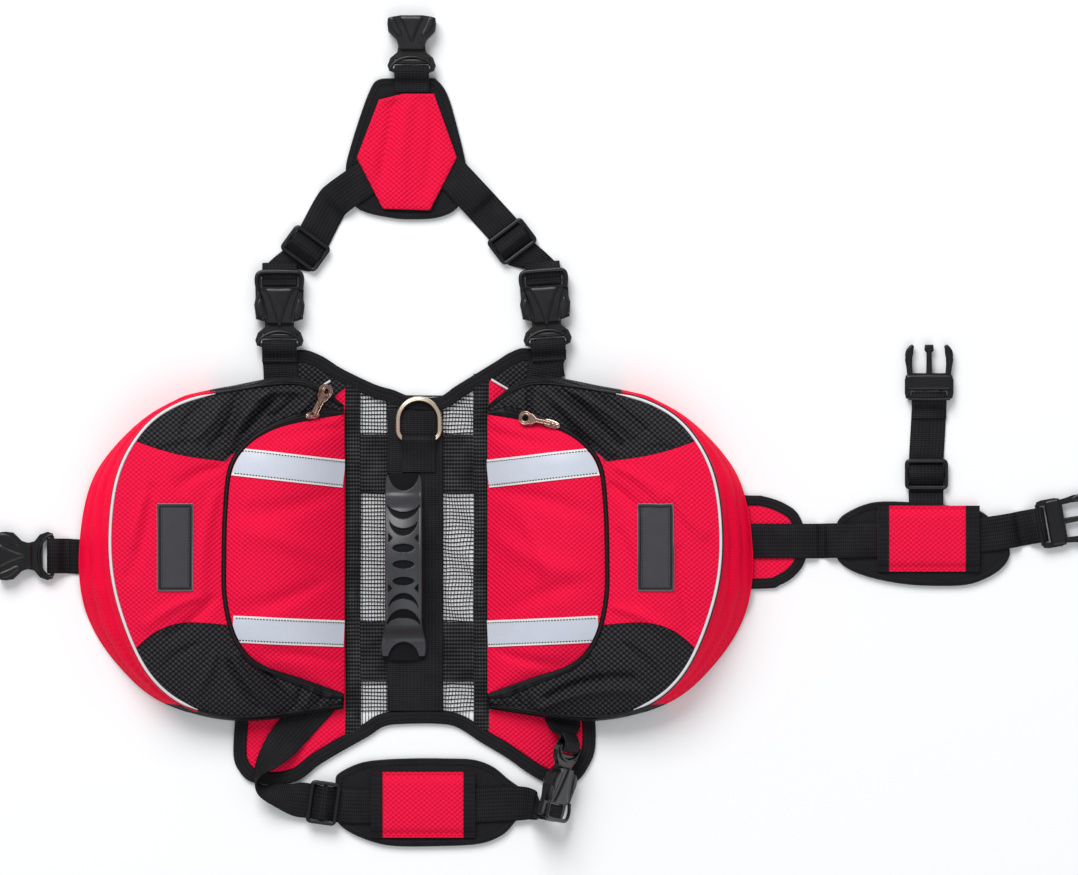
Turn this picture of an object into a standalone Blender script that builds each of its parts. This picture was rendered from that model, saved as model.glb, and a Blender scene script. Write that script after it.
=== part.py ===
"""A dog saddlebag harness laid flat on a table and seen from above.

All sizes are in millimetres and become metres in the meshes. +Z is up, +Y points to the
dog's head, and the origin is the middle of the spine, on the table.
"""
import math

import bmesh
import bpy
from mathutils import Matrix, Vector

MM = 0.001
SEAM = 0.3

# Cloth and webbing, as thicknesses
CLOTH = 1.2
WEBBING = 1.4
WEBBING_WIDTH = 25.0
YOKE_THICK = 3.0
BINDING_THICK = 3.6
BINDING_WIDTH = 9.0
PAD_THICK = 4.0

# The saddlebag. Outward means away from the spine, and each bag mirrors the other.
BAG_STATIONS = 32
RIM_OVER_YOKE = 6.2
RIM_ON_TABLE = 0.5
BAG_INNER_X = 51.5
PIPING_RADIUS = 1.3
ZIP_WIDTH_ENDS = 8.0
ZIP_WIDTH_SIDE = 2.6
ZIP_GAP = 1.3
# The inner edges of the pocket and of the bag's back, from top to bottom
POCKET_INNER_Y = (105.0, -96.0)
POCKET_INNER_Z = 9.0
BACK_INNER_Y = (103.0, -98.0)
# How far the pocket bulges, and its reach from the spine where it bulges most
POCKET_BULGE, POCKET_REACH = 7.5, 84.0
# The front's crown as a share of its width, and the width of its flat edges
FRONT_CROWN, FRONT_EDGE = 0.07, 9.0
# The length of the front between the zip and the piping
FRONT_RUN = 300.0
# The side wall's swell as a share of its height, and its crease: place, width and depth
GUSSET_SWELL = 0.05
CREASE_AT, CREASE_WIDTH, CREASE_DEPTH = 0.33, 0.1, 0.8

# Each row is a section through the bag, from the top inner end round to the bottom inner end:
# the pocket line, the piping and the base line, with the heights of the first two.
BAG_SECTIONS = [
    # pocket_x, pocket_y, pocket_z, piping_x, piping_y, piping_z, base_x, base_y
    (52.0, 105.0, 10.0, 52.5, 110.0, 9.5, 52.0, 112.0),
    (76.0, 100.8, 19.0, 83.0, 126.5, 17.0, 84.0, 131.6),
    (101.0, 94.5, 27.0, 131.0, 121.8, 24.0, 133.0, 125.3),
    (120.0, 83.0, 32.0, 169.0, 112.5, 31.0, 171.0, 116.0),
    (131.5, 66.0, 34.0, 196.0, 92.8, 37.5, 205.0, 94.0),
    (135.0, 38.0, 35.0, 214.0, 58.0, 41.0, 233.0, 57.0),
    (136.0, 5.0, 35.0, 218.8, 8.0, 42.0, 242.4, 5.0),
    (135.3, -28.0, 34.5, 211.5, -36.0, 40.0, 236.8, -39.0),
    (128.0, -56.0, 32.0, 192.0, -80.0, 34.0, 214.0, -76.0),
    (112.0, -74.0, 27.0, 163.0, -104.5, 25.0, 180.0, -103.5),
    (82.0, -85.0, 19.0, 122.0, -112.5, 18.0, 125.0, -115.8),
    (52.0, -96.0, 10.0, 54.0, -104.0, 9.0, 52.0, -107.0),
]
# The seams between the black corners and the red side panel, as places along the sections
TOP_SEAM_AT_POCKET = 0.350
TOP_SEAM_AT_PIPING = 0.385
LOW_SEAM_AT_POCKET = 0.690
LOW_SEAM_AT_PIPING = 0.690

# Soft folds in the bag's corners: a ridge is positive, a trough negative
BAG_FOLDS = [
    # from_x, from_y, to_x, to_y, half_width, height
    (138.0, 78.0, 114.0, 108.0, 6.0, 3.2),
    (114.0, 108.0, 92.0, 124.0, 6.0, 2.6),
    (146.0, 82.0, 128.0, 112.0, 6.0, -2.6),
    (170.0, 90.0, 128.0, 98.0, 5.0, 1.8),
    (74.0, 108.0, 92.0, 118.0, 4.5, -2.2),
    (60.0, -99.0, 96.0, -103.0, 3.5, 1.8),
    (92.0, -92.0, 112.0, -108.0, 3.5, -2.2),
    (104.0, -86.0, 122.0, -104.0, 4.0, 1.8),
    (122.0, -76.0, 146.0, -98.0, 5.0, -2.0),
    (138.0, -62.0, 168.0, -88.0, 6.0, 1.8),
]

# The yoke's outer lines, from the dog's right side to its left
NECK_LINE = [
    (-109.7, 130.3), (-106.9, 140.4), (-94.0, 148.4), (-81.0, 151.3), (-67.8, 146.9), (-52.7, 137.5),
    (-29.8, 126.6), (-16.0, 122.4), (-3.2, 117.8), (16.0, 117.4), (30.0, 126.1), (56.9, 142.6),
    (67.0, 149.0), (78.0, 152.6), (92.0, 149.4), (104.2, 142.6), (107.3, 132.5),
]
REAR_LINE = [
    (-128.0, -100.0), (-130.3, -117.8), (-131.3, -140.2), (-127.7, -151.0), (-119.0, -159.4),
    (-101.5, -162.0), (-83.8, -158.1), (-69.5, -147.4), (-51.6, -136.7), (-34.3, -127.0),
    (-22.5, -119.7), (-6.8, -117.9), (16.1, -117.9), (30.0, -120.6), (46.9, -131.3), (64.8, -142.0),
    (82.8, -154.5), (98.0, -161.4), (115.0, -159.8), (125.7, -145.6), (129.3, -131.3), (128.5, -104.0),
]
SPINE_LEFT, SPINE_RIGHT = -49.3, 50.9
TAPE_WIDTH = 9.5
TAPE_THICK = 3.4
TAPE_END_FRONT, TAPE_END_REAR = 121.0, -116.2
BAND_BOTTOM, BAND_TOP = 1.3, 2.7
FRONT_BAND = (48.5, 90.3)
REAR_BAND = (-87.6, -44.4)
NET_THICK = 1.0
SPINE_WEBBING_X = (-20.7, 19.5)
SPINE_WEBBING_Y = (-108.2, 107.6)
SPINE_WEBBING_Z = (3.0, 4.6)
# The side lobe that the right girth strap is sewn to
LOBE_LINE = [
    (150.0, 48.0), (237.2, 45.9), (250.0, 45.2), (264.2, 40.5), (275.0, 32.0), (280.5, 14.0),
    (279.5, 0.0), (272.5, -10.5), (261.2, -17.6), (247.2, -20.0), (150.0, -22.0),
]
# The left one ends under its bag
HIDDEN_LOBE_LINE = [
    (150.0, 48.0), (226.0, 45.0), (232.0, 34.0), (232.0, -8.0), (226.0, -20.0), (150.0, -22.0),
]
HIDDEN_SIDE = [(122.0, 112.0), (132.0, 84.0), (140.0, 56.0)]
HIDDEN_LOW_SIDE = [(140.0, -30.0), (132.0, -62.0), (122.0, -96.0)]

CHEST_PAD_LINE = [
    (-17.0, 346.6), (-27.7, 345.2), (-33.0, 338.0), (-39.9, 319.7), (-47.5, 295.2), (-50.4, 280.8),
    (-48.5, 263.0), (-40.0, 252.0), (-18.0, 246.4), (0.0, 245.3), (17.0, 246.9), (29.5, 253.4),
    (36.5, 268.0), (36.0, 284.0), (29.5, 311.8), (22.5, 335.0), (15.0, 345.2), (9.0, 346.6),
]
CHEST_PANEL_LINE = [
    (-26.6, 331.2), (-9.0, 335.5), (13.0, 335.5), (29.5, 289.4), (10.1, 251.6), (-23.8, 252.7),
    (-42.5, 289.4),
]
GIRTH_PAD_LINE = [
    (303.1, 26.6), (310.0, 33.8), (326.4, 40.8), (345.0, 42.0), (372.0, 40.0), (400.9, 36.7), (414.0, 29.0),
    (424.0, 14.0), (427.3, 4.8), (422.6, -4.5), (411.8, -12.2), (396.2, -17.6), (373.0, -18.4),
    (349.7, -16.9), (326.4, -12.2), (310.9, -6.0), (303.1, 1.7), (301.8, 14.0),
]
REAR_PAD_LINE = [
    (-57.8, -160.0), (-55.2, -153.5), (-40.8, -146.4), (-24.7, -143.8), (0.0, -142.8), (20.1, -142.9),
    (41.5, -143.8), (55.9, -149.2), (66.7, -158.1), (79.0, -167.0), (82.0, -175.0), (79.0, -183.0),
    (72.0, -187.5), (63.1, -197.0), (46.9, -203.8), (20.1, -205.6), (-15.8, -205.6), (-35.4, -201.1),
    (-51.6, -193.0), (-58.2, -183.0),
]

# Buckles and triglides for 25 mm webbing
BUCKLE_PLATE = 3.6
BAR = 2.8
LOOP_RADIUS = 3.3
BAR_HEIGHT = LOOP_RADIUS + WEBBING / 2 + 0.1
BAR_ON_PAD = PAD_THICK + SEAM + BAR_HEIGHT
TRIGLIDE_LENGTH, TRIGLIDE_WIDTH, TRIGLIDE_THICK = 22.0, 31.0, 2.6
TRIGLIDE_LIFT = 2.2

# The handle
HANDLE_X = -8.5
HANDLE_WIDTH = 28.0
HANDLE_ENDS = (62.5, -72.0)
HANDLE_RISE = 20.0
HANDLE_THICK = 5.0

# The D-ring and the tab round its bar
RING_X, RING_BAR_Y = 2.1, 86.5
RING_HALF_WIDTH = 15.0
RING_WIRE = 1.8
RING_Z = SPINE_WEBBING_Z[1] + SEAM + RING_WIRE
TAB_WIDTH = 24.6

COLOURS = {
    # name: (colour, roughness, metallic)
    "red_cloth": ((0.75, 0.01, 0.04), 0.6, 0.0),
    "black_cloth": ((0.015, 0.015, 0.018), 0.6, 0.0),
    "webbing": ((0.012, 0.012, 0.014), 0.7, 0.0),
    "binding": ((0.012, 0.012, 0.013), 0.8, 0.0),
    "net": ((0.02, 0.02, 0.02), 0.8, 0.0),
    "reflective": ((0.6, 0.63, 0.7), 0.35, 0.0),
    "piping": ((0.8, 0.8, 0.8), 0.5, 0.0),
    "plastic": ((0.012, 0.012, 0.014), 0.35, 0.0),
    "handle_rubber": ((0.06, 0.065, 0.07), 0.45, 0.0),
    "metal": ((0.8, 0.6, 0.4), 0.25, 1.0),
    "label": ((0.05, 0.05, 0.055), 0.6, 0.0),
}


# Scene helpers

def start_scene():
    """Removes what the file holds, and makes the harness's collections."""
    for ob in list(bpy.data.objects):
        bpy.data.objects.remove(ob, do_unlink=True)
    made = {}
    for name in ("dog_saddlebag_harness", "cutters"):
        made[name] = bpy.data.collections.new(name)
        bpy.context.scene.collection.children.link(made[name])
    return made


def make_material(name):
    colour, roughness, metallic = COLOURS[name]
    material = bpy.data.materials.new(name)
    material.use_nodes = True
    shader = material.node_tree.nodes["Principled BSDF"]
    shader.inputs["Base Color"].default_value = (*colour, 1.0)
    shader.inputs["Roughness"].default_value = roughness
    shader.inputs["Metallic"].default_value = metallic
    material.diffuse_color = (*colour, 1.0)
    return material


COLLECTIONS = start_scene()
MATERIALS = {name: make_material(name) for name in COLOURS}


def add_object(name, data, material, cutter=False):
    ob = bpy.data.objects.new(name, data)
    COLLECTIONS["cutters" if cutter else "dog_saddlebag_harness"].objects.link(ob)
    if material:
        data.materials.append(MATERIALS[material])
    if cutter:
        ob.hide_render = True
        ob.display_type = "WIRE"
    return ob


def grid_mesh(name, rows, flip=False):
    """A mesh of quads through equal rows of points, given in millimetres."""
    across = len(rows[0])
    points = [p * MM for row in rows for p in row]
    faces = []
    for i in range(len(rows) - 1):
        for j in range(across - 1):
            corner = i * across + j
            face = (corner, corner + 1, corner + across + 1, corner + across)
            faces.append(face[::-1] if flip else face)
    mesh = bpy.data.meshes.new(name)
    mesh.from_pydata(points, [], faces)
    mesh.shade_smooth()
    return mesh


def cloth_sheet(name, rows, thickness, material, offset=-1.0, flip=False):
    """An open surface given thickness by Solidify. Its normals point out of the cloth's face."""
    ob = add_object(name, grid_mesh(name, rows, flip), material)
    wall = ob.modifiers.new("wall", "SOLIDIFY")
    wall.thickness = thickness * MM
    wall.offset = offset
    wall.use_even_offset = False
    return ob


def flat_curve(name, outlines, bottom, top, material, cutter=False):
    """Flat outlines, holes among them, extruded from one height to another."""
    curve = bpy.data.curves.new(name, "CURVE")
    curve.dimensions = "2D"
    curve.fill_mode = "BOTH"
    curve.extrude = (top - bottom) / 2 * MM
    for outline in outlines:
        spline = curve.splines.new("POLY")
        spline.points.add(len(outline) - 1)
        for point, (x, y) in zip(spline.points, outline):
            point.co = (x * MM, y * MM, 0.0, 1.0)
        spline.use_cyclic_u = True
    ob = add_object(name, curve, material, cutter)
    ob.location.z = (top + bottom) / 2 * MM
    return ob


def as_mesh(ob):
    """Turns a curve object into a welded mesh object of the same name, with its place in its points."""
    bpy.context.view_layer.update()
    evaluated = ob.evaluated_get(bpy.context.evaluated_depsgraph_get())
    mesh = bpy.data.meshes.new_from_object(evaluated)
    shape = bmesh.new()
    shape.from_mesh(mesh)
    bmesh.ops.remove_doubles(shape, verts=shape.verts, dist=1e-6)
    bmesh.ops.recalc_face_normals(shape, faces=shape.faces)
    bmesh.ops.transform(shape, matrix=ob.matrix_world, verts=shape.verts)
    shape.to_mesh(mesh)
    shape.free()
    name, data = ob.name, ob.data
    collection = ob.users_collection[0]
    bpy.data.objects.remove(ob, do_unlink=True)
    bpy.data.curves.remove(data)
    made = bpy.data.objects.new(name, mesh)
    collection.objects.link(made)
    if collection == COLLECTIONS["cutters"]:
        made.hide_render = True
        made.display_type = "WIRE"
    return made


def box(name, low, high, material=None, cutter=True, matrix=None):
    """A box from its low corner to its high corner, as a primitive."""
    mesh = bpy.data.meshes.new(name)
    shape = bmesh.new()
    size = Vector(high) - Vector(low)
    middle = (Vector(high) + Vector(low)) / 2
    bmesh.ops.create_cube(shape, size=1.0)
    bmesh.ops.scale(shape, vec=size * MM, verts=shape.verts)
    bmesh.ops.translate(shape, vec=middle * MM, verts=shape.verts)
    shape.to_mesh(mesh)
    shape.free()
    ob = add_object(name, mesh, material, cutter)
    if matrix:
        ob.matrix_world = matrix
    return ob


def combine(ob, other, operation):
    """Joins another solid to this one or cuts it away, with a Boolean modifier."""
    step = ob.modifiers.new(operation.lower(), "BOOLEAN")
    step.operation = operation
    step.object = other
    step.solver = "EXACT"


def round_edges(ob, width, segments=1, angle=50.0):
    step = ob.modifiers.new("rounding", "BEVEL")
    step.width = width * MM
    step.segments = segments
    step.limit_method = "ANGLE"
    step.angle_limit = math.radians(angle)
    step.use_clamp_overlap = True


def tube(name, points, radius, material, cyclic=False, sides=0):
    """A wire or cord: a POLY curve with a round bevel."""
    curve = bpy.data.curves.new(name, "CURVE")
    curve.dimensions = "3D"
    curve.bevel_depth = radius * MM
    curve.bevel_resolution = sides
    curve.use_fill_caps = not cyclic
    spline = curve.splines.new("POLY")
    spline.points.add(len(points) - 1)
    for point, place in zip(spline.points, points):
        point.co = (*(place * MM), 1.0)
    spline.use_cyclic_u = cyclic
    return add_object(name, curve, material)


# Geometry helpers

def smooth_read(rows, place):
    """Reads rows of numbers at a place from 0 to 1 with a Catmull-Rom curve."""
    last = len(rows) - 1
    along = min(max(place, 0.0), 1.0) * last
    i = min(int(along), last - 1)
    t = along - i
    before = rows[max(i - 1, 0)]
    after = rows[min(i + 2, last)]
    values = []
    for a, b, c, d in zip(before, rows[i], rows[i + 1], after):
        slope_b, slope_c = (c - a) / 2, (d - b) / 2
        values.append(
            b + slope_b * t + (3 * (c - b) - 2 * slope_b - slope_c) * t * t
            + (2 * (b - c) + slope_b + slope_c) * t ** 3
        )
    return values


def smooth_line(points, count, closed=False):
    """Points on a smooth curve through the given ones."""
    rows = list(points) + [points[0], points[1]] if closed else list(points)
    if not closed:
        return [tuple(smooth_read(rows, i / (count - 1))) for i in range(count)]
    rows = [points[-1]] + rows
    whole = len(rows) - 1
    return [tuple(smooth_read(rows, (1 + i / count * len(points)) / whole)) for i in range(count)]


def offset_line(points, distance):
    """A flat line moved sideways, to its left if the distance is positive."""
    moved = []
    for i, (x, y) in enumerate(points):
        x0, y0 = points[max(i - 1, 0)]
        x1, y1 = points[min(i + 1, len(points) - 1)]
        length = math.hypot(x1 - x0, y1 - y0)
        moved.append((x - (y1 - y0) / length * distance, y + (x1 - x0) / length * distance))
    return moved


def line_between(points, x_low=None, x_high=None):
    """The part of a left-to-right line between two x values, or from or to its own end."""
    first, last = 0, len(points)
    before, after = [], []
    if x_low is not None:
        first = next(i for i, p in enumerate(points) if p[0] > x_low)
        before = [point_at(points[first - 1], points[first], x_low)]
    if x_high is not None:
        last = len(points) - next(i for i, p in enumerate(points[::-1]) if p[0] < x_high)
        after = [point_at(points[last - 1], points[last], x_high)]
    return before + list(points[first:last]) + after


def point_at(start, end, x):
    """The point at x on a straight line."""
    share = (x - start[0]) / (end[0] - start[0])
    return (x, start[1] + (end[1] - start[1]) * share)


def ease(value):
    value = min(max(value, 0.0), 1.0)
    return value * value * (3 - 2 * value)


def between(ends, share):
    return ends[0] + (ends[1] - ends[0]) * share


def mirrored(points, side):
    return [(x * side, y) for x, y in points]


# The saddlebag's form, with x outward

def section(place):
    """The pocket point, piping point and base point of one section."""
    px, py, pz, qx, qy, qz, bx, by = smooth_read(BAG_SECTIONS, place)
    base = Vector((bx, by, rim_height(bx, by)))
    return Vector((px, py, pz)), Vector((qx, qy, qz)), base


def rim_height(x, y):
    """The base line lies on the table, but over the yoke and the girth straps it lies higher."""
    on_yoke = 1 - ease((x - 142) / 22)
    on_lobe = ease((y + 44) / 20) * (1 - ease((y - 52) / 20))
    return RIM_ON_TABLE + (RIM_OVER_YOKE - RIM_ON_TABLE) * max(on_yoke, on_lobe)


def fold_height(x, y):
    """The bag's soft folds at a place, as a height."""
    height = 0.0
    for x0, y0, x1, y1, width, rise in BAG_FOLDS:
        dx, dy = x1 - x0, y1 - y0
        along = ((x - x0) * dx + (y - y0) * dy) / (dx * dx + dy * dy)
        held = min(max(along, 0.0), 1.0)
        away = math.hypot(x - x0 - held * dx, y - y0 - held * dy)
        height += rise * math.exp(-((away / width) ** 2))
    return height


def zip_width(place):
    """The zip strip is broad at the bag's top and bottom and thin along its side."""
    return ZIP_WIDTH_SIDE + (ZIP_WIDTH_ENDS - ZIP_WIDTH_SIDE) * (1 - ease(min(place, 1 - place) / 0.3))


def front_point(place, away):
    """The bag's front between the pocket line (0) and the piping (1)."""
    pocket, piping, _ = section(place)
    point = pocket.lerp(piping, away)
    span = (piping - pocket).xy.length
    crown = FRONT_CROWN * span * math.sin(math.pi * away)
    edge = min(1.0, away * span / FRONT_EDGE, (1 - away) * span / FRONT_EDGE)
    point.z += crown + fold_height(point.x, point.y) * ease(edge)
    return point


def pocket_point(place, away):
    """The front pocket between the spine (0) and the pocket line (1)."""
    pocket, _, _ = section(place)
    inner = Vector((BAG_INNER_X, between(POCKET_INNER_Y, place), POCKET_INNER_Z))
    point = inner.lerp(pocket, away)
    bulge = math.sin(math.pi * min(away, 1.0)) * (pocket.x - BAG_INNER_X) / POCKET_REACH
    point.z = inner.z + (pocket.z - inner.z) * math.sin(math.pi / 2 * away) + POCKET_BULGE * bulge
    return point


def gusset_point(place, down):
    """The bag's outer wall, from the piping (0) to the base line (1), with its long crease."""
    _, piping, base = section(place)
    point = piping.lerp(base, down)
    outward = Vector((base.x - piping.x, base.y - piping.y, 0.0))
    swell = math.sin(math.pi * down) * GUSSET_SWELL * (piping.z - base.z)
    crease = math.exp(-(((down - CREASE_AT) / CREASE_WIDTH) ** 2)) * CREASE_DEPTH
    if outward.length > 1e-6:
        point += outward.normalized() * (swell - crease)
    return point


def sheet_normal(form, place, away):
    """The upward normal of a form at a place on it."""
    step = 0.004
    a, b = min(place + step, 1.0), max(place - step, 0.0)
    c, d = min(away + step, 1.0), max(away - step, 0.0)
    along = form(a, away) - form(b, away)
    across = form(place, c) - form(place, d)
    normal = along.cross(across).normalized()
    return normal if normal.z >= 0 else -normal


def find_on(form, x, y, place, away):
    """The place on a form that lies at x, y, found by Newton steps."""
    for _ in range(12):
        here = form(place, away)
        step = 0.002
        along = (form(place + step, away) - here) / step
        across = (form(place, away + step) - here) / step
        miss_x, miss_y = x - here.x, y - here.y
        size = along.x * across.y - along.y * across.x
        place += (miss_x * across.y - miss_y * across.x) / size
        away += (along.x * miss_y - along.y * miss_x) / size
        place = min(max(place, 0.0), 0.99)
        away = min(max(away, 0.0), 0.99)
    return place, away


def spread(low, high, steps):
    return [low + (high - low) * i / steps for i in range(steps + 1)]


def make_bag(side, tag):
    make_tray(side, tag)
    make_front(side, tag)
    make_pocket(side, tag)
    make_trim(side, tag)
    make_zip(side, tag)


def make_tray(side, tag):
    """The back and the gusset, one open shell with its mouth up."""
    rows = []
    for i in range(BAG_STATIONS + 1):
        place = i / BAG_STATIONS
        _, piping, base = section(place)
        inner = Vector((BAG_INNER_X, between(BACK_INNER_Y, place), RIM_OVER_YOKE))
        row = [inner, inner.lerp(base, 0.4), inner.lerp(base, 0.72), base]
        row[1].z = RIM_OVER_YOKE
        row[2].z = RIM_OVER_YOKE
        drop = 2.6 / max(piping.z - base.z, 5.0)
        row += [gusset_point(place, down) for down in (0.66, 0.33, drop)]
        rows.append([Vector((p.x * side, p.y, p.z)) for p in row])
    cloth_sheet(f"bag_{tag}_tray", rows, CLOTH, "red_cloth", flip=side < 0)


def make_front(side, tag):
    """The black top corner, the red side panel and the black low corner."""
    steps = 6
    pieces = [
        # name, material, first section at the pocket and at the piping, last ones, rows
        ("corner_top", "black_cloth", (0.0, 0.0), (TOP_SEAM_AT_POCKET, TOP_SEAM_AT_PIPING), 16),
        ("panel", "red_cloth", (TOP_SEAM_AT_POCKET, TOP_SEAM_AT_PIPING),
         (LOW_SEAM_AT_POCKET, LOW_SEAM_AT_PIPING), 12),
        ("corner_low", "black_cloth", (LOW_SEAM_AT_POCKET, LOW_SEAM_AT_PIPING), (1.0, 1.0), 14),
    ]
    gap = SEAM / 2 / FRONT_RUN
    for name, material, first, last, count in pieces:
        rows = []
        for i in range(count + 1):
            row = []
            for j in range(steps + 1):
                share = j / steps
                start = between(first, share) + (gap if first[0] > 0 else 0)
                end = between(last, share) - (gap if last[0] < 1 else 0)
                place = start + (end - start) * i / count
                pocket, piping, _ = section(place)
                span = (piping - pocket).xy.length
                low = (min(zip_width(place), span * 0.42) + ZIP_GAP) / span
                high = 1 - min(2.2, span * 0.3) / span
                point = front_point(place, low + (high - low) * share)
                row.append(Vector((point.x * side, point.y, point.z)))
            rows.append(row)
        cloth_sheet(f"bag_{tag}_{name}", rows, CLOTH, material, flip=side > 0)


def make_pocket(side, tag):
    rows = []
    inset = 0.4
    for i in range(BAG_STATIONS + 1):
        place = i / BAG_STATIONS
        pocket, _, _ = section(place)
        reach = max((pocket - Vector((BAG_INNER_X, pocket.y, pocket.z))).length, 1.0)
        high = 1 - min(inset / reach, 0.4)
        row = [pocket_point(place, high * share) for share in (0.0, 0.12, 0.35, 0.65, 1.0)]
        rows.append([Vector((p.x * side, p.y, p.z)) for p in row])
    cloth_sheet(f"bag_{tag}_pocket", rows, CLOTH, "red_cloth", flip=side > 0)


def make_trim(side, tag):
    """White piping, two reflective strips and the label patch."""
    points = [section(place)[1] for place in spread(0.17, 0.83, 30)]
    tube(f"bag_{tag}_piping", [Vector((p.x * side, p.y, p.z)) for p in points], PIPING_RADIUS, "piping")
    strips = [
        # name, inner x, y, outer x, y, width
        ("front", 53.5, 62.4, 131.0, 71.0, 20.0),
        ("rear", 53.5, -52.8, 131.0, -49.0, 19.0),
    ]
    for name, x0, y0, x1, y1, width in strips:
        strip = f"bag_{tag}_reflector_{name}"
        patch(strip, pocket_point, side, (x0, y0), (x1, y1), width, 10, 2, "reflective", 0.4)
    patch(f"bag_{tag}_label", front_point, side, (172.3, -21.4), (172.3, 40.6), 25.0, 6, 3, "label", 1.0)


def patch(name, form, side, start, end, width, count, across, material, thickness):
    """A straight strip laid on a form, from its points moved out."""
    rows = []
    direction = Vector((end[0] - start[0], end[1] - start[1])).normalized()
    for i in range(count + 1):
        row = []
        for j in range(across + 1):
            sideways = (j / across - 0.5) * width
            x = start[0] + (end[0] - start[0]) * i / count - direction.y * sideways
            y = start[1] + (end[1] - start[1]) * i / count + direction.x * sideways
            place, away = find_on(form, x, y, 0.5, 0.5)
            point = form(place, away) + sheet_normal(form, place, away) * (SEAM + thickness)
            row.append(Vector((point.x * side, point.y, point.z)))
        rows.append(row)
    cloth_sheet(name, rows, thickness, material, flip=side > 0)


# Where each zip's slider stands along the bag, and the flat direction of its pull
ZIP_SLIDERS = {-1: (0.085, (0.52, 0.85)), 1: (0.165, (-0.97, 0.22))}
SLIDER_LOW, SLIDER_HIGH = (-5.2, -2.4, -0.3), (5.2, 2.4, 3.4)
PULL_LENGTH, PULL_THICK = 25.0, 1.5


def slider_frames(side):
    """Two places on the zip strip: +x along the zip for the slider, and along its pull."""
    place, direction = ZIP_SLIDERS[side]
    pocket, piping, _ = section(place)
    away = 0.5 * zip_width(place) / (piping - pocket).xy.length
    centre = front_point(place, away)
    up = sheet_normal(front_point, place, away)
    zip_way = front_point(place + 0.01, away) - centre
    frames = []
    for way in (zip_way, Vector((direction[0] * side, direction[1], 0.0))):
        along = (way - up * way.dot(up)).normalized()
        across = up.cross(along)
        if side < 0:
            across = -across
        columns = [Vector((v.x * side, v.y, v.z)) for v in (along, across, up)]
        turn = Matrix(columns).transposed().to_4x4()
        frames.append(Matrix.Translation(Vector((centre.x * side, centre.y, centre.z))) @ turn)
    return frames


def make_zip(side, tag):
    """The zip strip round the pocket line with its slider, and the pull tab."""
    rows = []
    for i in range(BAG_STATIONS + 1):
        place = i / BAG_STATIONS
        pocket, piping, _ = section(place)
        span = (piping - pocket).xy.length
        width = min(zip_width(place), span * 0.42)
        row = [front_point(place, width * share / span) for share in (0.0, 0.5, 1.0)]
        row[1].z += 0.6
        rows.append([Vector((p.x * side, p.y, p.z)) for p in row])
    strip = cloth_sheet(f"bag_{tag}_zip", rows, CLOTH, "binding", flip=side > 0)
    zip_frame, pull_frame = slider_frames(side)
    slider = box(f"slider_body_{tag}", SLIDER_LOW, SLIDER_HIGH, matrix=in_metres(zip_frame))
    combine(strip, slider, "UNION")
    make_pull(tag, pull_frame)


def make_pull(tag, frame):
    """The pull tab: a link and a round end, hinged on the slider's top."""
    eye = PULL_LENGTH - 5.5
    outline = [(0.0, -1.5), (11.0, -1.5), (14.0, -3.8)]
    outline += [(eye + 5 * math.cos(a), 5 * math.sin(a)) for a in spread(-2.2, 2.2, 10)]
    outline += [(14.0, 3.8), (11.0, 1.5), (0.0, 1.5)]
    hole = [(eye + 2.5 * math.cos(a), 2.5 * math.sin(a)) for a in spread(0, math.tau * 7 / 8, 7)]
    low = SLIDER_HIGH[2] + SEAM
    pull = as_mesh(flat_curve(f"bag_{tag}_pull", [outline, hole], low, low + PULL_THICK, "metal"))
    pull.matrix_world = in_metres(frame)


# The yoke and the spine

def make_yoke():
    neck = smooth_line(NECK_LINE, 49)
    rear = smooth_line(REAR_LINE, 61)
    neck_inner = offset_line(neck, -BINDING_WIDTH)
    rear_inner = offset_line(rear, BINDING_WIDTH)
    flat_curve("neck_binding", [neck + neck_inner[::-1]], 0.0, BINDING_THICK, "binding")
    flat_curve("rear_binding", [rear + rear_inner[::-1]], 0.0, BINDING_THICK, "binding")
    top = offset_line(neck, -BINDING_WIDTH - SEAM)
    low = offset_line(rear, BINDING_WIDTH + SEAM)
    inner_right = SPINE_RIGHT + SEAM
    inner_left = SPINE_LEFT - SEAM
    right = line_between(top, x_low=inner_right) + HIDDEN_SIDE
    right += smooth_line(LOBE_LINE, 25) + HIDDEN_LOW_SIDE
    right += line_between(low, x_low=inner_right)[::-1]
    left = mirrored(HIDDEN_SIDE, -1)[::-1] + line_between(top, x_high=inner_left)
    left += line_between(low, x_high=inner_left)[::-1]
    left += mirrored(HIDDEN_LOW_SIDE, -1)[::-1] + mirrored(HIDDEN_LOBE_LINE, -1)[::-1]
    flat_curve("yoke_right", [right], 0.0, YOKE_THICK, "red_cloth")
    flat_curve("yoke_left", [left], 0.0, YOKE_THICK, "red_cloth")
    net_left = SPINE_LEFT + TAPE_WIDTH + SEAM
    net_right = SPINE_RIGHT - TAPE_WIDTH - SEAM
    net = line_between(top, net_left, net_right) + line_between(low, net_left, net_right)[::-1]
    flat_curve("spine_net", [net], 0.0, NET_THICK, "net")


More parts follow.
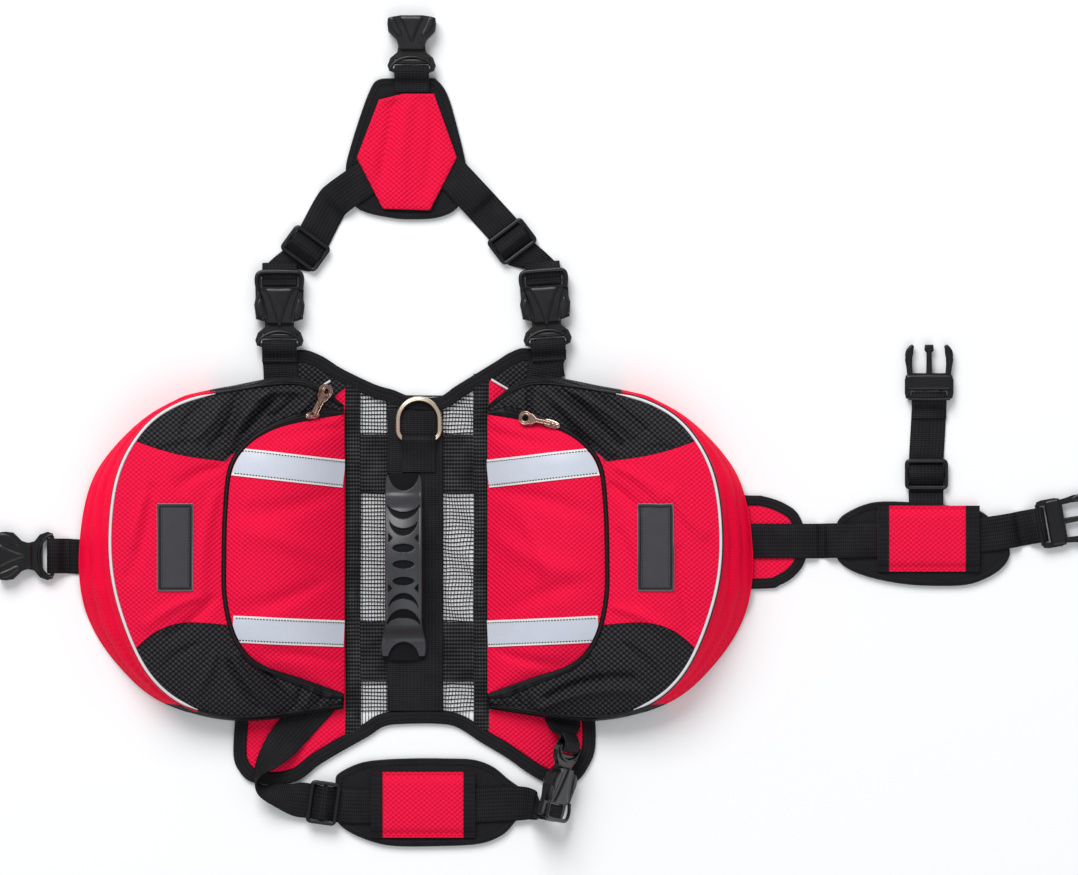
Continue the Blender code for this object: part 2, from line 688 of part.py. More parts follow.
def make_spine():
    """Two tapes at the net's sides, two bands across them on the net, and the webbing on top."""
    left_tape = box(
        "spine_frame", (SPINE_LEFT, TAPE_END_REAR, 0.0),
        (SPINE_LEFT + TAPE_WIDTH, TAPE_END_FRONT, TAPE_THICK), "binding", cutter=False,
    )
    right_tape = box(
        "right_tape", (SPINE_RIGHT - TAPE_WIDTH, TAPE_END_REAR, 0.0),
        (SPINE_RIGHT, TAPE_END_FRONT, TAPE_THICK),
    )
    for name, (y0, y1) in (("front_band", FRONT_BAND), ("rear_band", REAR_BAND)):
        band = box(name, (SPINE_LEFT + 2, y0, BAND_BOTTOM), (SPINE_RIGHT - 2, y1, BAND_TOP))
        combine(left_tape, band, "UNION")
    combine(left_tape, right_tape, "UNION")
    box(
        "spine_webbing", (SPINE_WEBBING_X[0], SPINE_WEBBING_Y[0], SPINE_WEBBING_Z[0]),
        (SPINE_WEBBING_X[1], SPINE_WEBBING_Y[1], SPINE_WEBBING_Z[1]), "webbing", cutter=False,
    )


def handle_height(y):
    """The handle's underside: on the webbing at its ends and an arch between them."""
    front, rear = HANDLE_ENDS
    seat = 14.0
    inner = (y - rear - seat) / (front - rear - 2 * seat)
    rise = math.sin(math.pi * min(max(inner, 0.0), 1.0)) ** 0.7
    return SPINE_WEBBING_Z[1] + SEAM + HANDLE_RISE * rise


def make_handle():
    """A rubber grip with a rounded top, arched over a gap for the fingers."""
    rows = []
    front, rear = HANDLE_ENDS
    for y in spread(rear, front, 28):
        end = min((y - rear) / 9, (front - y) / 9, 1.0)
        half = HANDLE_WIDTH / 2 * (0.72 + 0.28 * math.sqrt(max(end * (2 - end), 0.0)))
        row = []
        for share in (-1.0, -0.7, 0.0, 0.7, 1.0):
            z = handle_height(y) + HANDLE_THICK * (1.0 - 0.3 * share * share)
            row.append(Vector((HANDLE_X + share * half, y, z)))
        rows.append(row)
    cloth_sheet("handle", rows, HANDLE_THICK * 0.68, "handle_rubber")


def make_d_ring():
    """The D-ring, with its bar in a tab of webbing."""
    wire = [(-RING_HALF_WIDTH, 0.0), (-RING_HALF_WIDTH, 7.0)]
    wire += [
        (-RING_HALF_WIDTH * math.cos(a), 14.5 + RING_HALF_WIDTH * math.sin(a)) for a in spread(0, math.pi, 14)
    ]
    wire += [(RING_HALF_WIDTH, 7.0), (RING_HALF_WIDTH, 0.0)]
    points = [Vector((x, y, 0.0)) for x, y in wire]
    ring = tube("d_ring", points, RING_WIRE, "metal", cyclic=True, sides=1)
    ring.location = Vector((RING_X, RING_BAR_Y, RING_Z)) * MM
    base = SPINE_WEBBING_Z[1] + SEAM
    over = RING_WIRE + SEAM + WEBBING / 2
    profile = [(-23.0, base + WEBBING / 2), (-14.0, base + WEBBING / 2), (-8.0, base + 1.6)]
    profile += [(over * -math.cos(a), RING_Z + over * math.sin(a)) for a in spread(0.75, math.pi - 0.35, 7)]
    profile += [(3.4, base + WEBBING / 2)]
    rows = []
    for y, z in profile:
        rows.append([Vector((RING_X + x, RING_BAR_Y + y, z)) for x in (-TAB_WIDTH / 2, TAB_WIDTH / 2)])
    cloth_sheet("d_ring_tab", rows, WEBBING, "webbing", offset=0.0)


# Webbing, buckles and pads

def buckle_frame(x, y, z, heading, pitch=0.0, roll=0.0):
    """A place for a buckle: its bar at the origin, its body towards +x, in millimetres."""
    turn = Matrix.Rotation(math.radians(heading), 4, "Z")
    turn = turn @ Matrix.Rotation(math.radians(pitch), 4, "Y") @ Matrix.Rotation(math.radians(roll), 4, "X")
    return Matrix.Translation(Vector((x, y, z))) @ turn


def in_metres(frame):
    moved = frame.copy()
    moved.translation = frame.translation * MM
    return moved


def loop_rows(frame, width=WEBBING_WIDTH, tail=15.0, lead=9.0):
    """Webbing round a buckle's bar: it comes in below, turns over the bar and lies back on itself."""
    low = -LOOP_RADIUS
    back = low + WEBBING + SEAM
    profile = [(-lead, low), (-3.0, low)]
    profile += [(LOOP_RADIUS * math.sin(a), -LOOP_RADIUS * math.cos(a)) for a in spread(0.0, math.pi, 8)]
    profile += [(-4.0, LOOP_RADIUS - 1.0), (-8.5, back + 0.3), (-tail, back)]
    side = (frame.to_3x3() @ Vector((0.0, 1.0, 0.0))).normalized()
    return [(frame @ Vector((x, 0.0, z)), side, width) for x, z in profile]


def triglide_rows(frame, width=WEBBING_WIDTH):
    """Webbing through a triglide: under its end bars and over its middle one."""
    high = TRIGLIDE_LIFT + TRIGLIDE_THICK + SEAM + WEBBING / 2 + 0.4
    low = WEBBING / 2 + 0.1
    profile = [(-11.5, low), (-8.5, low), (-1.9, high - 0.2), (0.0, high)]
    profile += [(1.9, high - 0.2), (8.5, low), (11.5, low)]
    side = (frame.to_3x3() @ Vector((0.0, 1.0, 0.0))).normalized()
    return [(frame @ Vector((x, 0.0, z)), side, width) for x, z in profile]


def flat_rows(points, width=WEBBING_WIDTH):
    """Webbing along a route of x, y and middle height, lying level."""
    rows = []
    for i, (x, y, z) in enumerate(points):
        x0, y0, _ = points[max(i - 1, 0)]
        x1, y1, _ = points[min(i + 1, len(points) - 1)]
        along = Vector((x1 - x0, y1 - y0, 0.0)).normalized()
        rows.append((Vector((x, y, z)), Vector((-along.y, along.x, 0.0)), width))
    return rows


def webbing(name, rows):
    """A ribbon through rows of a middle point, a sideways direction and a width."""
    grid = []
    for middle, side, width in rows:
        grid.append([middle + side * width * share for share in (-0.5, 0.5)])
    return cloth_sheet(name, grid, WEBBING, "webbing", offset=0.0)


def triglide(name, frame):
    half_length, half_width = TRIGLIDE_LENGTH / 2, TRIGLIDE_WIDTH / 2
    corner = 3.0
    outline = [
        (half_length - corner, -half_width), (half_length, corner - half_width),
        (half_length, half_width - corner), (half_length - corner, half_width),
        (corner - half_length, half_width), (-half_length, half_width - corner),
        (-half_length, corner - half_width), (corner - half_length, -half_width),
    ]
    slot = WEBBING_WIDTH / 2 + 0.7
    slots = []
    for sign in (-1, 1):
        slots.append([(sign * 1.6, -slot), (sign * 8.1, -slot), (sign * 8.1, slot), (sign * 1.6, slot)])
    top = TRIGLIDE_LIFT + TRIGLIDE_THICK
    made = as_mesh(flat_curve(name, [outline] + slots, TRIGLIDE_LIFT, top, "plastic"))
    made.matrix_world = in_metres(frame)
    return made


def mirrored_outline(half):
    """A closed outline from points on its +y side, from the bar end to the far end."""
    return half + [(x, -y) for x, y in half[::-1]]


def loop_plate(name, half, window):
    """The flat plate of a buckle, with the window that leaves its bar."""
    x0, x1, half_width = window
    hole = [(x0, -half_width), (x1, -half_width), (x1, half_width), (x0, half_width)]
    half_thick = BUCKLE_PLATE / 2
    return as_mesh(flat_curve(name, [mirrored_outline(half), hole], -half_thick, half_thick, "plastic"))


def block(name, half, bottom, top):
    return as_mesh(flat_curve(name, [mirrored_outline(half)], bottom, top, None, cutter=True))


SOCKET_PLATE = [(-1.4, 13.0), (0.0, 16.2), (3.5, 17.4), (9.0, 15.4), (13.0, 10.5), (17.0, 9.6), (20.0, 10.0)]
SOCKET_BODY = [(15.0, 8.0), (17.5, 9.4), (22.0, 11.0), (28.0, 16.8), (33.0, 17.5), (37.5, 17.2), (38.5, 14.0),
               (39.5, 8.0)]
SOCKET_WINDOW = (BAR / 2, 8.6, 13.4)
BODY_LOW, BODY_HIGH = -3.6, 6.0


def open_socket(name, frame):
    """The loose half that takes the prongs: a ring for the webbing and a hollow flared body."""
    plate = loop_plate(name, SOCKET_PLATE, SOCKET_WINDOW)
    body = block(f"{name}_body", SOCKET_BODY, BODY_LOW, BODY_HIGH)
    round_edges(body, 1.4)
    mouth = box(f"{name}_mouth", (20.0, -9.6, BODY_LOW + 2.0), (45.0, 9.6, BODY_HIGH - 2.0))
    wide = box(f"{name}_wide_mouth", (30.5, -14.6, BODY_LOW + 2.0), (45.0, 14.6, BODY_HIGH - 2.0))
    combine(plate, body, "UNION")
    combine(plate, mouth, "DIFFERENCE")
    combine(plate, wide, "DIFFERENCE")
    for part in (plate, body, mouth, wide):
        part.matrix_world = in_metres(frame)
    return plate


PLUG_PLATE = [(-1.4, 13.5), (-0.5, 16.6), (3.0, 17.5), (13.0, 17.5), (16.0, 16.0), (17.5, 12.0)]
PRONG = [(15.0, 15.6), (22.0, 16.4), (27.0, 17.4), (33.0, 16.4), (38.0, 12.6), (37.0, 10.8), (31.0, 12.0),
         (24.0, 12.2), (15.0, 11.6)]
GUIDE = [(15.0, 2.2), (32.0, 1.8), (34.0, 3.4), (38.0, 3.0)]


def open_plug(name, frame):
    """The loose half with two spring prongs and a middle guide."""
    plate = loop_plate(name, PLUG_PLATE, (BAR / 2, 9.5, 13.4))
    parts = [block(f"{name}_guide", GUIDE, -1.4, 1.4)]
    for sign in (-1, 1):
        prong = [(x, y * sign) for x, y in PRONG]
        parts.append(as_mesh(flat_curve(f"{name}_prong_{sign}", [prong], -1.6, 1.6, None, cutter=True)))
    for part in parts:
        combine(plate, part, "UNION")
    for part in parts + [plate]:
        part.matrix_world = in_metres(frame)
    return plate


CLOSED_LENGTH = 50.5
CLOSED_PLATE = [(-1.4, 13.0), (0.0, 16.2), (3.5, 17.4), (9.0, 15.4), (13.0, 10.5), (17.0, 10.5), (19.0, 17.0),
                (48.5, 17.5), (51.3, 16.6), (51.9, 13.5)]
CLOSED_BODY = [(14.5, 8.6), (17.0, 10.0), (20.0, 17.0), (29.0, 18.2), (36.0, 16.6), (40.8, 15.0)]


def closed_buckle(name, frame):
    """A fastened buckle, its two halves as one piece, with a bar at each end."""
    plate = loop_plate(name, CLOSED_PLATE, SOCKET_WINDOW)
    body = block(f"{name}_body", CLOSED_BODY, BODY_LOW + 0.2, BODY_HIGH - 0.4)
    round_edges(body, 1.4)
    far = box(f"{name}_window", (CLOSED_LENGTH - 8.4, -13.4, -9.0), (CLOSED_LENGTH - BAR / 2, 13.4, 9.0))
    combine(plate, body, "UNION")
    combine(plate, far, "DIFFERENCE")
    for part in (plate, body, far):
        part.matrix_world = in_metres(frame)
    return plate


def far_bar(frame):
    """The place of a closed buckle's other bar, turned round so that webbing comes from its side."""
    return frame @ Matrix.Translation(Vector((CLOSED_LENGTH, 0.0, 0.0))) @ Matrix.Rotation(math.pi, 4, "Z")


def pad(name, outline, points):
    line = smooth_line(outline, points, closed=True)
    return flat_curve(name, [line], 0.0, PAD_THICK, "binding")


ON_TABLE = WEBBING / 2 + 0.1
ON_PAD = PAD_THICK + SEAM + WEBBING / 2
ON_YOKE = YOKE_THICK + SEAM + WEBBING / 2
ON_BINDING = BINDING_THICK + SEAM + WEBBING / 2
CHEST_BAR = (-3.0, 352.0, BAR_ON_PAD)
CHEST_SOCKET_PITCH = 5.2


def make_chest():
    pad("chest_pad", CHEST_PAD_LINE, 44)
    panel_low = ON_PAD + WEBBING / 2 + SEAM
    flat_curve("chest_panel", [CHEST_PANEL_LINE], panel_low, panel_low + CLOTH, "red_cloth")
    end_x = CHEST_BAR[0]
    tab = flat_rows([(end_x, 322.0, ON_PAD), (end_x, 334.0, ON_PAD)])
    webbing("chest_loop", tab + loop_rows(buckle_frame(*CHEST_BAR, 90.0)))
    open_socket("chest_socket", buckle_frame(*CHEST_BAR, 90.0, pitch=CHEST_SOCKET_PITCH))


def make_neck(side, tag, pad_point, triglide_at, heading, buckle_at, buckle_heading, stub_from):
    """A neck strap from the chest pad through its triglide to the fastened shoulder buckle."""
    tilt = math.degrees(math.asin((BAR_ON_PAD - BAR_HEIGHT) / CLOSED_LENGTH))
    closed = buckle_frame(*buckle_at, BAR_ON_PAD, buckle_heading, pitch=tilt)
    top_bar = far_bar(closed)
    slide = buckle_frame(*triglide_at, 0.0, heading)
    start, edge, down = pad_point
    rows = flat_rows([(*start, ON_PAD), (*edge, ON_PAD), (*down, ON_TABLE)])
    rows += triglide_rows(slide)
    top_level = buckle_frame(*top_bar.translation, buckle_heading + 180)
    rows += loop_rows(top_level, tail=6.5, lead=4.5)
    webbing(f"neck_strap_{tag}", rows)
    triglide(f"triglide_{tag}", slide)
    closed_buckle(f"shoulder_buckle_{tag}", closed)
    low_level = buckle_frame(*buckle_at, BAR_ON_PAD, buckle_heading)
    near = [between(ends, 0.4) for ends in zip(stub_from, buckle_at)]
    stub = flat_rows([(*stub_from, ON_BINDING), (*near, ON_BINDING)]) + loop_rows(low_level, tail=12.0)
    webbing(f"shoulder_stub_{tag}", stub)


def make_girth_left():
    frame = buckle_frame(-261.5, 3.0, BAR_HEIGHT, 180.0)
    route = [(-214.0, 1.5, ON_YOKE), (-233.5, 2.0, ON_YOKE), (-240.0, 2.3, ON_TABLE), (-246.0, 2.6, ON_TABLE)]
    webbing("girth_strap_left", flat_rows(route) + loop_rows(frame, tail=12.0))
    open_socket("left_socket", frame)


GIRTH_SLEEVE_X, GIRTH_SLEEVE_Y = (331.8, 405.6), (-8.2, 39.2)
REAR_SLEEVE_X, REAR_SLEEVE_Y = (-32.5, 42.7), (-199.6, -152.4)
SLEEVE_RISE = WEBBING + SEAM + 0.4
SLEEVE_CROWN = 1.2
# A sleeve's form across its strap, with a flat seam at each side
SLEEVE_FORM = [
    # share of its width, share of its rise
    (0.0, 0.0), (0.06, 0.0), (0.13, 0.8), (0.22, 1.0), (0.5, 1.0), (0.78, 1.0), (0.87, 0.8), (0.94, 0.0),
    (1.0, 0.0),
]


def sleeve(name, x_ends, y_ends):
    """A sleeve over the strap, as a low arch sewn down along its two long sides."""
    rows = []
    base = PAD_THICK + SEAM + CLOTH
    for along in spread(0.0, 1.0, 8):
        row = []
        for share, raised in SLEEVE_FORM:
            crown = SLEEVE_CROWN * math.sin(math.pi * along) * math.sin(math.pi * share)
            height = base + (SLEEVE_RISE + crown) * raised
            row.append(Vector((between(x_ends, along), between(y_ends, share), height)))
        rows.append(row)
    cloth_sheet(name, rows, CLOTH, "red_cloth", flip=True)


def make_girth_right():
    pad("girth_pad", GIRTH_PAD_LINE, 44)
    plug = buckle_frame(449.5, 25.2, BAR_HEIGHT, 10.0)
    route = [
        (214.0, 13.7, ON_YOKE), (281.5, 13.7, ON_YOKE), (288.0, 13.7, ON_TABLE), (294.0, 13.8, ON_TABLE),
        (300.5, 14.0, ON_PAD), (332.0, 14.4, ON_PAD), (372.0, 15.6, ON_PAD), (410.0, 18.6, ON_PAD),
        (428.0, 21.2, ON_PAD), (434.0, 22.4, ON_TABLE),
    ]
    webbing("girth_strap_right", flat_rows(route) + loop_rows(plug, tail=10.0, lead=7.0))
    sleeve("girth_sleeve", GIRTH_SLEEVE_X, GIRTH_SLEEVE_Y)
    open_plug("right_plug", plug)
    slide = buckle_frame(367.3, 61.8, 0.0, 90.0)
    branch = buckle_frame(369.2, 117.0, BAR_HEIGHT, 90.0)
    rows = flat_rows([(367.0, 39.8, ON_PAD), (367.0, 43.8, ON_PAD), (367.0, 49.0, ON_TABLE)])
    webbing("branch_strap", rows + triglide_rows(slide) + loop_rows(branch))
    triglide("branch_triglide", slide)
    open_plug("branch_plug", branch)


def twist_row(x, y, z, width, heading, roll):
    """A row of webbing that heads one way and is rolled about that way."""
    turn = Matrix.Rotation(math.radians(heading), 3, "Z") @ Matrix.Rotation(math.radians(roll), 3, "X")
    return (Vector((x, y, z)), turn @ Vector((0.0, 1.0, 0.0)), width)


REAR_TWIST = [
    # x, y, middle height, width, heading, roll
    (-62.0, -94.0, ON_YOKE, 25.0, 228.0, 0.0),
    (-85.0, -119.0, ON_YOKE + 0.2, 25.0, 228.0, 0.0),
    (-97.0, -133.0, 6.4, 24.0, 230.0, 8.0),
    (-107.0, -145.0, 9.5, 18.0, 236.0, 30.0),
    (-113.5, -153.5, 11.5, 13.0, 250.0, 65.0),
    (-114.5, -160.5, 11.2, 12.0, 290.0, 95.0),
    (-110.0, -165.5, 9.6, 13.5, 320.0, 130.0),
    (-101.0, -168.5, 8.4, 17.0, 345.0, 160.0),
    (-92.0, -171.2, 6.2, 21.0, 348.0, 174.0),
    (-84.5, -172.2, ON_PAD, 25.0, 350.0, 180.0),
]
REAR_STUB = [
    (101.0, -98.0, ON_YOKE, 23.0, 280.0, 0.0),
    (104.0, -112.0, ON_YOKE + 0.2, 23.0, 280.0, 0.0),
    (107.5, -120.0, 8.0, 23.0, 278.0, -18.0),
]
# The rear buckle stands on its edge, leaning by this angle
REAR_LEAN = 62.0
REAR_FLAT = [
    (-40.0, -177.0, ON_PAD, 25.0, -4.0, 180.0),
    (20.0, -177.0, ON_PAD, 25.0, 0.0, 180.0),
    (70.0, -175.0, ON_PAD, 25.0, 2.0, 180.0),
]
REAR_RISE = [
    (83.0, -175.8, ON_PAD, 22.0, 350.0, 180.0),
    (86.0, -178.0, 9.0, 20.0, 350.0, 150.0),
    (89.0, -180.5, 14.5, 20.0, 345.0, 120.0),
]


def make_rear_belt():
    pad("rear_pad", REAR_PAD_LINE, 48)
    slide = buckle_frame(-66.5, -174.6, ON_PAD - ON_TABLE, -8.0)
    triglide("rear_triglide", slide)
    rows = [twist_row(*row) for row in REAR_TWIST]
    rows += [(middle, -side, width) for middle, side, width in triglide_rows(slide)[1:]]
    rows += [twist_row(*row) for row in REAR_FLAT + REAR_RISE]
    closed = buckle_frame(109.5, -134.0, 21.6, 255.0, roll=-REAR_LEAN)
    lower = far_bar(closed) @ Matrix.Rotation(math.radians(-REAR_LEAN), 4, "Y")
    rows += loop_rows(lower, tail=8.0, lead=5.0, width=20.0)
    webbing("rear_strap", rows)
    sleeve("rear_sleeve", REAR_SLEEVE_X, REAR_SLEEVE_Y)
    closed_buckle("rear_buckle", closed)
    upper = loop_rows(closed, tail=9.0, lead=7.0, width=22.0)
    webbing("rear_stub", [twist_row(*row) for row in REAR_STUB] + upper)


def main():
    make_yoke()
    make_spine()
    make_handle()
    make_d_ring()
    for side, tag in ((-1, "left"), (1, "right")):
        make_bag(side, tag)
    make_chest()
    make_neck(
        -1, "left", ((-27.0, 281.0), (-55.0, 261.5), (-62.5, 253.0)), (-79.5, 224.3), 234.0,
        (-98.1, 154.5), 90.0, (-96.0, 130.0),
    )
    make_neck(
        1, "right", ((20.0, 284.0), (43.0, 259.5), (49.0, 253.0)), (69.2, 229.3), 307.0,
        (95.0, 155.5), 94.0, (91.0, 130.0),
    )
    make_girth_left()
    make_girth_right()
    make_rear_belt()


main()
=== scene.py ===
import math

import bpy
import numpy as np
from mathutils import Matrix, Vector, geometry


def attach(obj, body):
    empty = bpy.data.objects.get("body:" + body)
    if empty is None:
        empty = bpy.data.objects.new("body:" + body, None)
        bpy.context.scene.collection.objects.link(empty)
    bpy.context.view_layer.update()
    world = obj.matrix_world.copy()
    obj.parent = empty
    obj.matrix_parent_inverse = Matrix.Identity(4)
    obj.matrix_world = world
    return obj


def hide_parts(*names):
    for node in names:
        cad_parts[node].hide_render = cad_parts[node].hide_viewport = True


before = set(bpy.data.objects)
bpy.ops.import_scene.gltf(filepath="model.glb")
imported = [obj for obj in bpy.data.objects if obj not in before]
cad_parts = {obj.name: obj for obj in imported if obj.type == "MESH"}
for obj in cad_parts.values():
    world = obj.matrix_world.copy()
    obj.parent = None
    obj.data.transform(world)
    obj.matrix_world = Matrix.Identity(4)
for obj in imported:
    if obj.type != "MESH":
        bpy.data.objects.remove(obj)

# The looks of a dog saddlebag harness that lies on a table. Sizes are in millimetres, and
# become metres in the meshes. The forms are those of the solids, with finer folds on them.
MM, TAU = 0.001, math.tau
SEAM = 0.3
CLOTH, WEBBING, WEBBING_WIDTH = 1.2, 1.4, 25.0
YOKE_THICK, BINDING_THICK, BINDING_WIDTH, PAD_THICK = 3.0, 3.6, 9.0, 4.0
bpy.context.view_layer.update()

# Finishes


class Finish:
    """A material that is put together node by node."""

    def __init__(self, name, colour, roughness, **sockets):
        self.material = bpy.data.materials.new(name)
        self.material.use_nodes = True
        self.tree = self.material.node_tree
        self.shader = self.tree.nodes["Principled BSDF"]
        self.shader.inputs["Base Color"].default_value = (*colour, 1.0)
        self.shader.inputs["Roughness"].default_value = roughness
        for socket, value in sockets.items():
            self.shader.inputs[socket.replace("_", " ")].default_value = value

    def node(self, kind, *values, **settings):
        """Adds a node, links or sets its first inputs, and returns its first output."""
        made = self.tree.nodes.new(kind)
        for name, value in settings.items():
            setattr(made, name, value)
        for socket, value in zip(made.inputs, values):
            self.join(value, socket)
        return made.outputs[0]

    def join(self, value, socket):
        if isinstance(value, bpy.types.NodeSocket):
            self.tree.links.new(value, socket)
        elif value is not None:
            socket.default_value = value

    def calc(self, operation, *values):
        return self.node("ShaderNodeMath", *values, operation=operation)

    def cloth_place(self):
        """Two coordinates along the cloth, in millimetres."""
        place = self.node("ShaderNodeUVMap", uv_map="cloth")
        split = self.node("ShaderNodeSeparateXYZ", place).node
        return place, split.outputs[0], split.outputs[1]

    def object_place(self):
        """The place in the object, in millimetres."""
        coordinates = self.node("ShaderNodeTexCoord").node.outputs["Object"]
        return self.node("ShaderNodeVectorMath", coordinates, (1000.0, 1000.0, 1000.0), operation="MULTIPLY")

    def wave(self, along, period, shift=0.0):
        return self.calc("COSINE", self.calc("MULTIPLY_ADD", along, TAU / period, shift))

    def noise(self, place, size, detail=2.0):
        """Noise from 0 to 1 with features of about a size in millimetres."""
        made = self.tree.nodes.new("ShaderNodeTexNoise")
        made.inputs["Scale"].default_value = 1.0 / size
        made.inputs["Detail"].default_value = detail
        self.tree.links.new(place, made.inputs["Vector"])
        return made.outputs[0]

    def mix(self, share, low, high):
        made = self.tree.nodes.new("ShaderNodeMix")
        made.data_type = "RGBA"
        self.join(share, made.inputs[0])
        for value, socket in ((low, made.inputs[6]), (high, made.inputs[7])):
            self.join(value if isinstance(value, bpy.types.NodeSocket) else (*value, 1.0), socket)
        return made.outputs[2]

    def colour(self, value):
        self.tree.links.new(value, self.shader.inputs["Base Color"])

    def roughness(self, share, low, high):
        ranged = self.tree.nodes.new("ShaderNodeMapRange")
        self.join(share, ranged.inputs[0])
        ranged.inputs[3].default_value = low
        ranged.inputs[4].default_value = high
        self.tree.links.new(ranged.outputs[0], self.shader.inputs["Roughness"])

    def bump(self, height, depth):
        """Relief from a height of 0 to 1, with its depth in millimetres."""
        made = self.tree.nodes.new("ShaderNodeBump")
        made.inputs["Strength"].default_value = 1.0
        made.inputs["Distance"].default_value = depth * MM
        self.tree.links.new(height, made.inputs["Height"])
        self.tree.links.new(made.outputs[0], self.shader.inputs["Normal"])


def dobby_cloth(name, low, high, cell, roughness, depth, gloss=0.12, contrast=1.0):
    """Polyester with a small raised diamond grid. Its colour is painted shade in the grid's valleys and
    painted highlight on the raised cells, with a random yarn mottle.
    """
    made = Finish(name, high, roughness[0], Specular_IOR_Level=gloss)
    place, u, v = made.cloth_place()
    blur = made.noise(place, 28.0)
    wander = made.calc("MULTIPLY_ADD", blur, 1.6, -0.8)
    across = made.wave(made.calc("ADD", u, wander), cell[0])
    along = made.wave(made.calc("ADD", v, wander), cell[1])
    raised = made.calc("MULTIPLY_ADD", made.calc("MULTIPLY", across, along), 0.5, 0.5)
    threads = made.calc("MULTIPLY", made.wave(u, 0.74), made.wave(v, 0.66))
    yarn = made.noise(place, 1.1, 3.0)
    height = made.calc("ADD", raised, made.calc("MULTIPLY", threads, 0.06))
    height = made.calc("MULTIPLY_ADD", yarn, 0.35, height)
    # Painted shade and highlight: darker in the valleys, lighter on the raised cells; the power leaves small
    # bright painted highlights on dark cloth.
    shade = made.calc("MULTIPLY_ADD", yarn, 0.5, made.calc("MULTIPLY_ADD", raised, 0.62, -0.08))
    shade = made.calc("POWER", made.calc("MAXIMUM", shade, 0.0), contrast)
    made.colour(made.mix(shade, low, high))
    made.roughness(raised, roughness[1], roughness[0])
    made.bump(height, depth)
    return made.material


def ribbed_cloth(name, low, high, rib, column, depth, roughness=0.62, contrast=1.0):
    """Tape or webbing with ribs across it and faint columns along it. Its colour is painted lighter on the
    ribs' tops and darker between them as painted shade, with a broad random mottle.
    """
    made = Finish(name, high, roughness, Specular_IOR_Level=0.14)
    place, u, v = made.cloth_place()
    yarn = made.noise(place, 0.9, 3.0)
    broad = made.noise(place, 18.0)
    ribs = made.calc("MULTIPLY_ADD", made.wave(v, rib), 0.5, 0.5)
    columns = made.calc("MULTIPLY_ADD", made.wave(u, column), 0.5, 0.5)
    height = made.calc("MULTIPLY_ADD", columns, 0.6, made.calc("MULTIPLY_ADD", yarn, 0.5, ribs))
    # Painted shade: the colour follows the ribs' height, darker in the hollows, plus a broad random mottle.
    shade = made.calc("MULTIPLY_ADD", height, 0.42, made.calc("MULTIPLY_ADD", broad, 0.7, -0.4))
    shade = made.calc("POWER", made.calc("MAXIMUM", shade, 0.0), contrast)
    made.colour(made.mix(shade, low, high))
    made.bump(height, depth)
    return made.material


def plain_finish(name, low, high, roughness, size, depth, **sockets):
    """A moulded, spun or cast surface: a faint mottle in its colour, gloss and relief."""
    made = Finish(name, high, roughness, **sockets)
    place = made.object_place()
    fine = made.noise(place, size, 4.0)
    broad = made.noise(place, size * 14, 2.0)
    made.colour(made.mix(made.calc("MULTIPLY_ADD", fine, 0.4, made.calc("MULTIPLY", broad, 0.6)), low, high))
    made.roughness(broad, roughness * 0.8, min(1.0, roughness * 1.2))
    made.bump(fine, depth)
    return made.material


